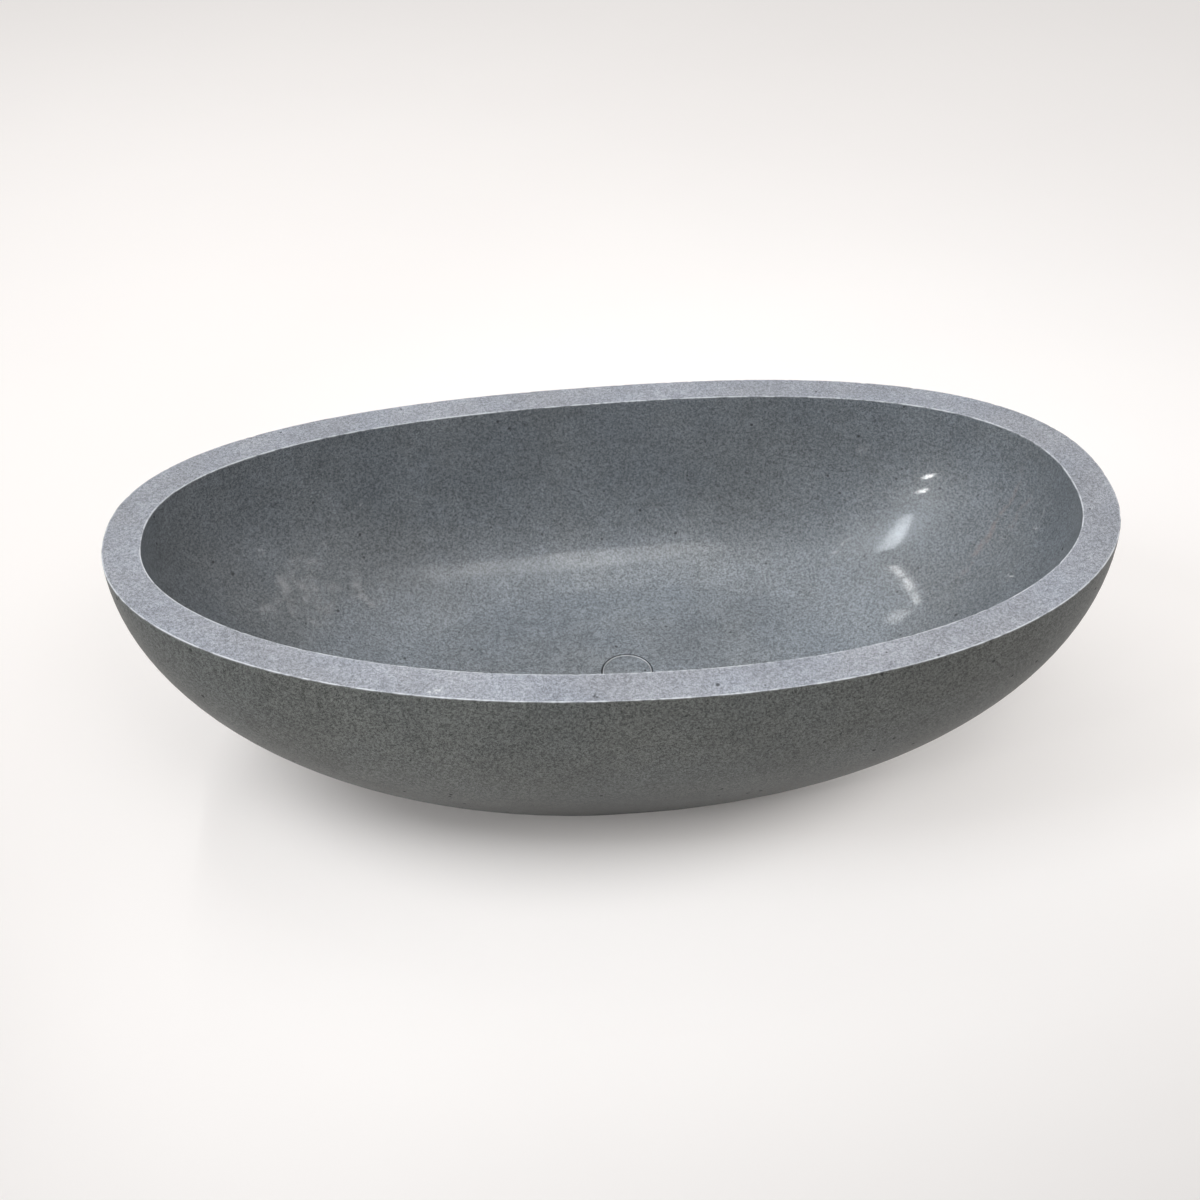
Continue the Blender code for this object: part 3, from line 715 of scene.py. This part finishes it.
# %% Turning marks
TURNED, given, gives = new_group(
    "turning_marks", [("Pitch", "Float", 0.0003)], [("Tone", "Float"), ("Height", "Float")]
)
centred = node(
    TURNED, "ShaderNodeMapping", {"Vector": given["Vector"], "Location": (-DRAIN.x, 0.0, 0.0)}
).outputs["Vector"]
parts = node(TURNED, "ShaderNodeSeparateXYZ", {"Vector": centred}).outputs
flat_only = node(TURNED, "ShaderNodeCombineXYZ", {"X": parts["X"], "Y": parts["Y"]}).outputs[0]
radius = vector_maths(TURNED, "LENGTH", {0: flat_only}, "Value")
profile = node(TURNED, "ShaderNodeCombineXYZ", {"X": radius, "Y": parts["Z"]}).outputs[0]
rings_seen = noise_value(TURNED, profile, maths(TURNED, "DIVIDE", 1.0, given["Pitch"]))
TURNED.links.new(remap(TURNED, rings_seen, 0.3, 0.7), gives["Tone"])
TURNED.links.new(rings_seen, gives["Height"])
print("group", TURNED.name)


# %% Metals
def metal(name, bright, dull, rough, tarnish):
    """Turned metal: fine rings, and clouds of tarnish that dull and roughen it."""
    material, tree, shader, place = new_material(name)
    marks = place_group(tree, TURNED, Vector=place)
    clouds = place_group(tree, DRIFT, Vector=place, Size=0.012)
    dulled = times(tree, clouds["Value"], tarnish)
    colour = mix(tree, dulled, (*bright, 1.0), (*dull, 1.0))
    colour = mix(tree, remap(tree, marks["Tone"], 0.0, 1.0, 0.0, 0.12), colour, (*dull, 1.0))
    roughness = remap(tree, marks["Tone"], 0.0, 1.0, rough - 0.04, rough + 0.04)
    roughness = plus(tree, roughness, times(tree, dulled, 0.2))
    surface(tree, shader, colour, roughness, marks["Height"], 0.05, 0.0002)
    shader.inputs["Metallic"].default_value = 1.0
    print("finish", name)
    return material


cup_steel = metal("brushed_cup_steel", (0.82, 0.83, 0.84), (0.62, 0.63, 0.64), 0.34, 0.15)
washer_steel = metal("zinc_washer_steel", (0.60, 0.61, 0.62), (0.38, 0.38, 0.37), 0.42, 0.6)
spring_steel = metal("drawn_spring_steel", (0.55, 0.55, 0.54), (0.33, 0.32, 0.31), 0.32, 0.4)
raw_brass = metal("turned_brass", (0.74, 0.55, 0.27), (0.36, 0.25, 0.13), 0.28, 0.7)


# %% Rubber and plastic
def moulded(name, base, bruised_and_lit, rough, grain_size):
    """A moulded piece: mould texture, and dust that lightens it in patches."""
    material, tree, shader, place = new_material(name)
    grain = place_group(tree, GRAIN, Vector=place, Size=grain_size)
    dust = place_group(tree, DRIFT, Vector=place, Size=0.008)["Value"]
    colour = mix(tree, remap(tree, dust, 0.3, 1.0, 0.0, 0.5), (*base, 1.0), (*bruised_and_lit, 1.0))
    roughness = remap(tree, grain["Tone"], 0.0, 1.0, rough - 0.06, rough + 0.06)
    surface(tree, shader, colour, roughness, grain["Height"], 0.2, 0.0001)
    print("finish", name)
    return material


black_rubber = moulded("black_rubber", (0.018, 0.018, 0.019), (0.07, 0.07, 0.068), 0.70, 0.0005)
white_plastic = moulded("white_plastic", (0.66, 0.66, 0.63), (0.50, 0.49, 0.45), 0.42, 0.0006)

# %% [markdown]
# ## The cap
# The cap is all that shows of the waste: a disc cut from the same stone, set in a
# shallow cup whose lip draws a fine bright ring, with a dark water joint around it.
# Both are turned shapes, so they are stacks of circles with rounded arrises.

# %% A turned solid from a profile
def turned(profile, around=DRAIN_SIDES, closed=True):
    """Stack circles at (radius, height, arris radius); a closed profile makes a ring."""
    stack = circles(profile)
    if closed:
        stack.append(stack[0])
    return loft(stack, around)


def washer(node_name, inner, arris):
    """A flat ring with the outer size and heights of its CAD node."""
    low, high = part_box(node_name)
    outer = (high.x - low.x) / 2
    return turned([
        (inner, low.z, arris), (outer, low.z, arris), (outer, high.z, arris), (inner, high.z, arris)
    ])


# %% The stone disc
stone_low, stone_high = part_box("cap_stone")
stone_radius = (stone_high.x - stone_low.x) / 2
disc = turned(
    [
        (0.0, stone_low.z, 0.0), (stone_radius * 0.6, stone_low.z, 0.0),
        (stone_radius, stone_low.z, 0.0008), (stone_radius, stone_high.z, 0.0007),
        (stone_radius * 0.75, stone_high.z, 0.0), (stone_radius * 0.4, stone_high.z, 0.0),
        (0.0, stone_high.z, 0.0),
    ],
    around=192, closed=False,
)
new_piece("cap_disc", disc, "cap", "cap_basalt", ["cap_stone"], [satin])

# %% The metal cup
CUP_WALL = CAP_RADIUS - stone_radius - GAP
CUP_BASE = 0.002
TUBE_BORE = 0.021
CUP_LIP_ROOM, CUP_LIP = 0.0012, 0.0015
STUD_HOLE = 0.0043
lip_radius = TUBE_BORE - CUP_LIP_ROOM
boss_radius = lip_radius - CUP_LIP
base_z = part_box("cap_seal")[1].z + GAP
cup = turned(
    [
        (STUD_HOLE, cup_low.z, 0.0), (lip_radius, cup_low.z, 0.0004), (lip_radius, FLANGE_TOP, 0.0004),
        (boss_radius, FLANGE_TOP, 0.0), (boss_radius, base_z, 0.0), (CAP_RADIUS, base_z, 0.0006),
        (CAP_RADIUS, cup_high.z, 0.0004), (CAP_RADIUS - CUP_WALL, cup_high.z, 0.0004),
        (CAP_RADIUS - CUP_WALL, base_z + CUP_BASE, 0.0), (STUD_HOLE, base_z + CUP_BASE, 0.0003),
    ],
    around=192,
)
new_piece("cap_rim_cup", cup, "cap", "cup_steel", ["cap_cup"], [cup_steel])

# %% The seal under the cup
seal = washer("cap_seal", boss_radius + GAP, 0.0007)
new_piece("cap_sealing_ring", seal, "cap", "rubber", ["cap_seal"], [black_rubber])

# %% [markdown]
# ## Threads and nuts
# A thread is a ring whose radius rises and falls with height, shifted a little at
# every step around the axis, so that the ridge climbs. Rings an eighth of a pitch
# apart are enough for its flanks. A nut is a stack of hexagons whose corners are cut
# back by a cone, as a lathe chamfers bar stock.

# %% Helpers for threads and nuts
RINGS_PER_PITCH = 8
CHAMFER = math.tan(math.radians(30))


def thread_ring(radius, z, pitch, depth):
    """A ring of a thread: its radius falls to the root and climbs back in one pitch."""
    def point(angle):
        turn = (z / pitch - angle / math.tau) % 1.0
        cut = min(1.0, abs(turn - 0.5) * 2.6)
        r = radius - depth * cut
        return Vector((DRAIN.x + r * math.cos(angle), r * math.sin(angle), z))
    return point


def threaded(radius, low, high, pitch, depth):
    """Rings from low to high of an outer thread."""
    count = max(2, round((high - low) / pitch * RINGS_PER_PITCH))
    return [
        (thread_ring(radius, low + (high - low) * i / count, pitch, depth), 0, 0.0)
        for i in range(count + 1)
    ]


def hexagon_ring(flat_radius, cone_radius, z):
    """A hexagon of the given inner radius, its corners cut back to a circle."""
    def point(angle):
        across = (angle + math.pi / 6) % (math.pi / 3) - math.pi / 6
        r = min(flat_radius / math.cos(across), cone_radius)
        return Vector((DRAIN.x + r * math.cos(angle), r * math.sin(angle), z))
    return point


def hexagon_nut(node_name, hole):
    """A chamfered nut in the place and size of its CAD node."""
    low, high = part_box(node_name)
    flat_radius = min(high.x - low.x, high.y - low.y) / 2
    corner = flat_radius / math.cos(math.pi / 6)
    stack = circles([(hole, low.z, 0.0003)])
    for end, side in ((low.z, 1), (high.z, -1)):
        cones = (flat_radius * 0.985, flat_radius, (flat_radius + corner) / 2, corner)
        levels = [
            (hexagon_ring(flat_radius, cone, end + side * (cone - cones[0]) * CHAMFER), 0, 0.0)
            for cone in cones
        ]
        stack.extend(levels if side > 0 else reversed(levels))
    stack += circles([(hole, high.z, 0.0003)])
    stack.append(stack[0])
    return loft(stack, 144)


print("thread and nut helpers ready")

# %% The stud and its lock nut
STUD_PITCH, STUD_THREAD = 0.00125, 0.0007
stud_low, stud_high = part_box("cap_stud")
stud_radius = (stud_high.x - stud_low.x) / 2
end_radius = stud_radius - STUD_THREAD
stack = circles([(0.0, stud_low.z, 0.0), (end_radius, stud_low.z, 0.0)])
stack += threaded(stud_radius, stud_low.z + 0.0006, stud_high.z - 0.0006, STUD_PITCH, STUD_THREAD)
stack += circles([(end_radius, stud_high.z, 0.0), (0.0, stud_high.z, 0.0)])
new_piece("cap_threaded_stud", loft(stack, 48), "cap", "brass", ["cap_stud"], [raw_brass], 30)
new_piece(
    "cap_stud_nut", hexagon_nut("cap_lock_nut", STUD_HOLE), "cap", "brass", ["cap_lock_nut"],
    [raw_brass], 25,
)

# %% [markdown]
# ## The tube, its web and what clamps it
# The waste's tube has a pipe thread outside and a cross web inside that carries the
# cartridge. The tube is a stack of rings; the web's arms are bars whose ends reach
# into the tube's wall, joined to it by a Boolean, because they meet a curved wall.

# %% The tube with its pipe thread
PIPE_PITCH, PIPE_THREAD = 0.00231, 0.00125
TUBE_RADIUS = 0.0239
FLANGE_THICKNESS, MOUTH = 0.003, 0.0015
WEB_TOP, WEB_BOTTOM = 0.0426, 0.0366
WEB_WIDTH, SHANK_HOLE, BOSS_RADIUS = 0.0025, 0.0053, 0.0085
under_flange = FLANGE_TOP - FLANGE_THICKNESS
stack = circles([
    (TUBE_BORE, FLANGE_TOP - MOUTH, 0.0), (TUBE_BORE, waste_low.z, 0.0003),
    (TUBE_RADIUS - PIPE_THREAD, waste_low.z, 0.0),
])
stack += threaded(TUBE_RADIUS, waste_low.z + 0.001, under_flange - 0.006, PIPE_PITCH, PIPE_THREAD)
stack += circles([
    (TUBE_RADIUS, under_flange - 0.005, 0.0), (TUBE_RADIUS, under_flange, 0.0),
    (FLANGE_RADIUS, under_flange, 0.0005), (FLANGE_RADIUS, FLANGE_TOP, 0.0008),
    (TUBE_BORE + MOUTH, FLANGE_TOP, 0.0), (TUBE_BORE, FLANGE_TOP - MOUTH, 0.0),
])
tube = loft(stack, 128)
print("tube:", len(tube.faces), "faces")


# %% The web, joined to the tube
def combined(base, others):
    """Join or cut with Booleans, and give the result back as one bmesh."""
    base = mesh_object("joined_base", base)
    tools = []
    for operation, shape in others:
        tool = mesh_object("joining_tool", shape)
        cut = base.modifiers.new("join", "BOOLEAN")
        cut.operation, cut.object, cut.solver = operation, tool, "EXACT"
        tools.append(tool)
    bpy.context.view_layer.update()
    result = bmesh.new()
    result.from_object(base, bpy.context.evaluated_depsgraph_get())
    for used in (base, *tools):
        bpy.data.objects.remove(used, do_unlink=True)
    return result


def web_arm(turn, step):
    """A bar across the tube, its ends in the wall, lower by a step at top and bottom."""
    bm = bmesh.new()
    bmesh.ops.create_cube(bm, size=1.0)
    size = (2 * (TUBE_BORE + 0.001), WEB_WIDTH, WEB_TOP - WEB_BOTTOM - 2 * step)
    bmesh.ops.scale(bm, vec=size, verts=bm.verts)
    bmesh.ops.bevel(bm, geom=bm.edges[:], offset=0.0004, segments=2, profile=0.5,
                    affect="EDGES", material=-1)
    bmesh.ops.rotate(bm, cent=(0, 0, 0), matrix=Matrix.Rotation(turn, 3, "Z"), verts=bm.verts)
    bmesh.ops.translate(bm, vec=(DRAIN.x, 0.0, (WEB_TOP + WEB_BOTTOM) / 2), verts=bm.verts)
    return bm


def rod(radius, low, high, arris):
    return turned(
        [(0.0, low, 0.0), (radius, low, arris), (radius, high, arris), (0.0, high, 0.0)], 64, closed=False
    )


boss = rod(BOSS_RADIUS, WEB_BOTTOM, WEB_TOP, 0.0005)
hole = rod(SHANK_HOLE, WEB_BOTTOM - 0.004, WEB_TOP + 0.004, 0.0)
waste = combined(tube, [
    ("UNION", web_arm(0.0, 0.0005)), ("UNION", web_arm(math.pi / 2, 0.001)), ("UNION", boss),
    ("DIFFERENCE", hole),
])
new_piece("waste_tube", waste, "tub", "brass", ["waste_body"], [raw_brass], 30)

# %% Gasket, seal, washer and back nut
ON_TUBE = TUBE_RADIUS + GAP
for name, node_name, slot, finish, arris in (
    ("flange_gasket_ring", "flange_gasket", "rubber", black_rubber, 0.0005),
    ("lower_sealing_ring", "lower_seal", "rubber", black_rubber, 0.0011),
    ("slip_ring", "slip_washer", "washer_steel", washer_steel, 0.0003),
):
    new_piece(name, washer(node_name, ON_TUBE, arris), "tub", slot, [node_name], [finish])
new_piece(
    "waste_back_nut", hexagon_nut("back_nut", ON_TUBE), "tub", "brass", ["back_nut"],
    [raw_brass], 25,
)

# %% [markdown]
# ## The push-push cartridge
# Pressing the cap pushes the plunger down against the spring. A small plastic ring
# with four lugs turns an eighth of a turn each time and either hooks in the barrel or
# lets the spring lift the cap. All of it hangs on one axis, so it is turned too.

# %% Plunger
plunger_low, plunger_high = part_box("plunger")
PLUNGER_RADIUS, FOOT_RADIUS, PIN_RADIUS = 0.0058, 0.0076, 0.0035
FOOT_TOP, FOOT_BOTTOM, STUD_END = 0.0648, 0.0628, 0.0728
plunger = turned(
    [
        (0.0, STUD_END, 0.0), (STUD_HOLE, STUD_END, 0.0), (STUD_HOLE, plunger_high.z, 0.0003),
        (PLUNGER_RADIUS, plunger_high.z, 0.0005), (PLUNGER_RADIUS, FOOT_TOP, 0.0),
        (FOOT_RADIUS, FOOT_TOP, 0.0003), (FOOT_RADIUS, FOOT_BOTTOM, 0.0003),
        (PIN_RADIUS, FOOT_BOTTOM, 0.0), (PIN_RADIUS, plunger_low.z, 0.0004),
        (0.0, plunger_low.z, 0.0),
    ],
    64, closed=False,
)
new_piece("cap_plunger", plunger, "cap", "brass", ["plunger"], [raw_brass])


# %% Rotor with its lugs
def lugged_ring(radius, lug, half_width, z, tooth=0.0):
    """A circle with four lugs; the lugs' tops are cut slanting so that they cam around."""
    def point(angle):
        across = angle % (math.pi / 2) - math.pi / 4
        on_lug = abs(across) * radius < half_width
        r = radius + (lug if on_lug else 0.0)
        rise = tooth * (0.5 + across * radius / (2 * half_width)) if on_lug else 0.0
        return Vector((DRAIN.x + r * math.cos(angle), r * math.sin(angle), z + rise))
    return point


rotor_low, rotor_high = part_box("rotor")
ROTOR_RADIUS, ROTOR_BORE, LUG, LUG_HALF = 0.0069, 0.0038, 0.0008, 0.001
lug_low = rotor_low.z + 0.0006
stack = circles([
    (ROTOR_BORE, rotor_low.z, 0.0002), (ROTOR_RADIUS, rotor_low.z, 0.0002), (ROTOR_RADIUS, lug_low, 0.0)
])
stack += [
    (lugged_ring(ROTOR_RADIUS, LUG, LUG_HALF, lug_low), 0, 0.0),
    (lugged_ring(ROTOR_RADIUS, LUG, LUG_HALF, lug_low + 0.0013, 0.0007), 0, 0.0),
]
stack += circles([
    (ROTOR_RADIUS, lug_low + 0.0022, 0.0), (ROTOR_RADIUS, rotor_high.z, 0.0002),
    (ROTOR_BORE, rotor_high.z, 0.0002), (ROTOR_BORE, rotor_low.z, 0.0),
])
new_piece("latch_rotor", loft(stack, 160), "rotor", "plastic", ["rotor"], [white_plastic], 30)

# %% Barrel and its collar
barrel_low, barrel_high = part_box("barrel")
BARREL_BORE, BARREL_RADIUS, SHANK_RADIUS = 0.0082, 0.0105, 0.005
BARREL_FLOOR, BARREL_BOTTOM = 0.0459, 0.0429
SHANK_PITCH, SHANK_THREAD = 0.001, 0.0005
stack = circles([
    (0.0, BARREL_FLOOR, 0.0), (BARREL_BORE, BARREL_FLOOR, 0.0003), (BARREL_BORE, barrel_high.z, 0.0003),
    (BARREL_RADIUS, barrel_high.z, 0.0004), (BARREL_RADIUS, BARREL_BOTTOM, 0.0006),
    (SHANK_RADIUS, BARREL_BOTTOM, 0.0),
])
thread = threaded(SHANK_RADIUS, barrel_low.z + 0.0008, BARREL_BOTTOM - 0.001, SHANK_PITCH, SHANK_THREAD)
stack += reversed(thread)
stack += circles([(SHANK_RADIUS - SHANK_THREAD, barrel_low.z, 0.0), (0.0, barrel_low.z, 0.0)])
new_piece("cartridge_barrel", loft(stack, 72), "tub", "plastic", ["barrel"], [white_plastic], 30)

collar_low, collar_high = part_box("barrel_collar")
collar_radius = (collar_high.x - collar_low.x) / 2
COLLAR_HOLE = PLUNGER_RADIUS + GAP
SPIGOT_RADIUS = BARREL_BORE - GAP
collar = turned(
    [
        (COLLAR_HOLE, collar_low.z, 0.0), (SPIGOT_RADIUS, collar_low.z, 0.0003),
        (SPIGOT_RADIUS, barrel_high.z + GAP, 0.0), (collar_radius, barrel_high.z + GAP, 0.0003),
        (collar_radius, collar_high.z, 0.0005), (COLLAR_HOLE, collar_high.z, 0.0004),
    ],
    72,
)
new_piece("cartridge_collar", collar, "tub", "brass", ["barrel_collar"], [raw_brass])

# %% Spring: a circle spun around the axis while it climbs
spring_low, spring_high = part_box("spring")
WIRE, TURNS, STEPS = 0.0005, 6, 36
spring_radius = (spring_high.x - spring_low.x) / 2 - WIRE
climb = (spring_high.z - spring_low.z - 2 * WIRE) / (TURNS * STEPS)
coil = bmesh.new()
end = bmesh.ops.create_circle(coil, cap_ends=True, segments=10, radius=WIRE)
bmesh.ops.rotate(coil, cent=(0, 0, 0), matrix=Matrix.Rotation(math.pi / 2, 3, "X"), verts=coil.verts)
foot = Vector((DRAIN.x, 0.0, spring_low.z + WIRE))
bmesh.ops.translate(coil, vec=foot + Vector((spring_radius, 0.0, 0.0)), verts=coil.verts)
bmesh.ops.spin(
    coil, geom=coil.verts[:] + coil.edges[:] + coil.faces[:], cent=(DRAIN.x, 0.0, 0.0),
    axis=(0.0, 0.0, 1.0), dvec=(0.0, 0.0, climb), angle=math.tau * TURNS, steps=TURNS * STEPS,
)
bmesh.ops.recalc_face_normals(coil, faces=coil.faces)
spring = new_piece("return_spring", coil, None, "spring_steel", ["spring"], [spring_steel])
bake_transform(spring)

# %% [markdown]
# ## Floor, light and camera
# The bath stands on a wide pale paper floor under one broad soft lamp. A strip over the
# viewer's head draws the soft band in the bowl. Three thin lamps and an end lamp stand
# in a row on the left, with two tall panes and two small lamps beside them; the sealed
# wall at the far end mirrors them as bright marks. Lamps alone leave the far floor grey,
# so the paper also glows faintly as painted light, stronger towards the back and weakest
# near the foot, which paints the shadow there darker.

# %% The floor
FOOT_X, GLOW_FROM, GLOW_FULL = -0.08, 1.1, 1.9
bm = bmesh.new()
bmesh.ops.create_grid(bm, x_segments=1, y_segments=1, size=30.0)
bmesh.ops.translate(bm, vec=(0.0, 0.0, -0.0004), verts=bm.verts)
studio_floor = mesh_object("studio_floor", bm)
floor_paint, tree, shader, place = new_material("floor_paint")
drift = place_group(tree, DRIFT, Vector=place, Size=1.5)
colour = mix(tree, drift["Value"], (0.690, 0.664, 0.648, 1.0), (0.705, 0.680, 0.662, 1.0))
foot_reach = node(
    tree, "ShaderNodeMapping",
    {
        "Vector": place, "Location": (-FOOT_X / BASE[0], 0.0, 0.0),
        "Scale": (1.0 / BASE[0], 1.0 / BASE[1], 1.0),
    },
).outputs["Vector"]
away = vector_maths(tree, "LENGTH", {0: foot_reach}, "Value")
towards_back = node(tree, "ShaderNodeSeparateXYZ", {"Vector": place}).outputs["Y"]
# Painted light: the floor's glow rises towards the back and away from the foot, so it also paints the
# shadow near the foot.
painted_floor_light = mix(
    tree, remap(tree, towards_back, -1.6, 0.2), (0.11, 0.107, 0.104, 1.0), (0.355, 0.344, 0.335, 1.0)
)
painted_floor_light = mix(tree, remap(tree, away, GLOW_FROM, GLOW_FULL), (0.05, 0.048, 0.047, 1.0), painted_floor_light)
tree.links.new(painted_floor_light, shader.inputs["Emission Color"])
tree.links.new(colour, shader.inputs["Base Color"])
shader.inputs["Roughness"].default_value = 0.9
shader.inputs["Specular IOR Level"].default_value = 0.1
shader.inputs["Emission Strength"].default_value = 1.0
studio_floor.data.materials.append(floor_paint)
print("floor at z", round(studio_floor.data.vertices[0].co.z, 4))


# %% The lights
LAMP_HEIGHT = 3.0
LAMP_X, FIRST_LAMP_Y, LAMP_STEP = -1.45, 2.50, 0.74
STRIP_SPREAD, BAR_SPREAD = math.radians(70.0), math.radians(60.0)
WALLS, CEILING = 0.76, 0.38
WHITE, SKY_BLUE = (1.0, 1.0, 1.0), (0.88, 0.94, 1.0)
ON_THE_BOWL = (0.62, 0.23, 0.30)


def soft_light(name, place, aim, size, power, colour=WHITE):
    """A rectangular lamp that shines from its place towards a point."""
    data = bpy.data.lights.new(name, "AREA")
    data.shape = "RECTANGLE"
    data.size, data.size_y = size
    data.energy = power
    data.color = colour
    lamp = bpy.data.objects.new(name, data)
    lamp.location = place
    lamp.rotation_euler = (Vector(aim) - Vector(place)).to_track_quat("-Z", "Y").to_euler()
    lamp.visible_camera = False
    bpy.context.scene.collection.objects.link(lamp)
    return lamp


def light_bar(name, start, end, width, power, colour=WHITE):
    """A narrow beam from a long lamp between two points to the far end of the bowl."""
    start, end = Vector(start), Vector(end)
    middle, along = (start + end) / 2, (end - start).normalized()
    lamp = soft_light(name, middle, ON_THE_BOWL, (width, (end - start).length), power, colour)
    back = middle - Vector(ON_THE_BOWL)
    back = (back - along * back.dot(along)).normalized()
    axes = Matrix((along.cross(back), along, back)).transposed()
    lamp.rotation_euler = axes.to_euler()
    lamp.data.spread = BAR_SPREAD


soft_light("ceiling_light", (0.3, 0.2, 4.5), (0.3, 0.2, 0.0), (6.0, 5.0), 74.0)
soft_light("back_light", (0.2, 3.6, 3.4), (0.0, 0.0, 0.2), (4.5, 2.0), 5.0, SKY_BLUE)
strip = soft_light("strip_light", (0.65, -1.70, LAMP_HEIGHT), (0.0, 0.20, 0.15), (1.8, 1.1), 4.6)
strip.data.spread = STRIP_SPREAD
for i in range(3):
    y = FIRST_LAMP_Y - LAMP_STEP * i
    soft_light(f"lamp_{i + 1}", (LAMP_X, y, LAMP_HEIGHT), (LAMP_X, y, 0.0), (0.06, 0.64), 6.0)
soft_light("end_lamp", (-1.1, 2.8, LAMP_HEIGHT), (0.0, 0.0, 0.0), (0.35, 0.35), 4.0)
light_bar("left_skylight", (-1.66, -0.05, 3.06), (-2.05, -1.18, 2.30), 0.26, 4.4, SKY_BLUE)
light_bar("left_window", (-1.66, -0.05, 3.10), (-2.14, -1.95, 0.95), 0.85, 2.2, SKY_BLUE)
light_bar("upper_lamp", (-2.03, -1.60, 1.45), (-2.03, -1.68, 1.33), 0.12, 0.7)
light_bar("lower_lamp", (-1.98, -1.85, 0.90), (-1.98, -1.91, 0.78), 0.13, 0.8)

world = bpy.data.worlds.new("studio")
bpy.context.scene.world = world
world.use_nodes = True
tree = world.node_tree
direction = node(tree, "ShaderNodeTexCoord").outputs["Generated"]
height = node(tree, "ShaderNodeSeparateXYZ", {"Vector": direction}).outputs["Z"]
brightness = remap(tree, height, 0.0, 0.9, WALLS, CEILING)
sky = tree.nodes["Background"]
sky.inputs["Color"].default_value = (0.965, 0.96, 0.965, 1.0)
tree.links.new(brightness, sky.inputs["Strength"])
bpy.context.scene.view_settings.view_transform = "Standard"

# %% The camera
camera_data = bpy.data.cameras.new("camera")
camera_data.lens = 44.93
camera_data.sensor_width = 36.0
camera = bpy.data.objects.new("camera", camera_data)
camera.location = (-0.252, -2.153, 2.0793)
camera.rotation_euler = (math.pi / 2 - 0.691, 0.0, -0.1015)
bpy.context.scene.collection.objects.link(camera)
bpy.context.scene.camera = camera
print("camera", round((camera.location - (block_low + block_high) / 2).length, 2), "m away")
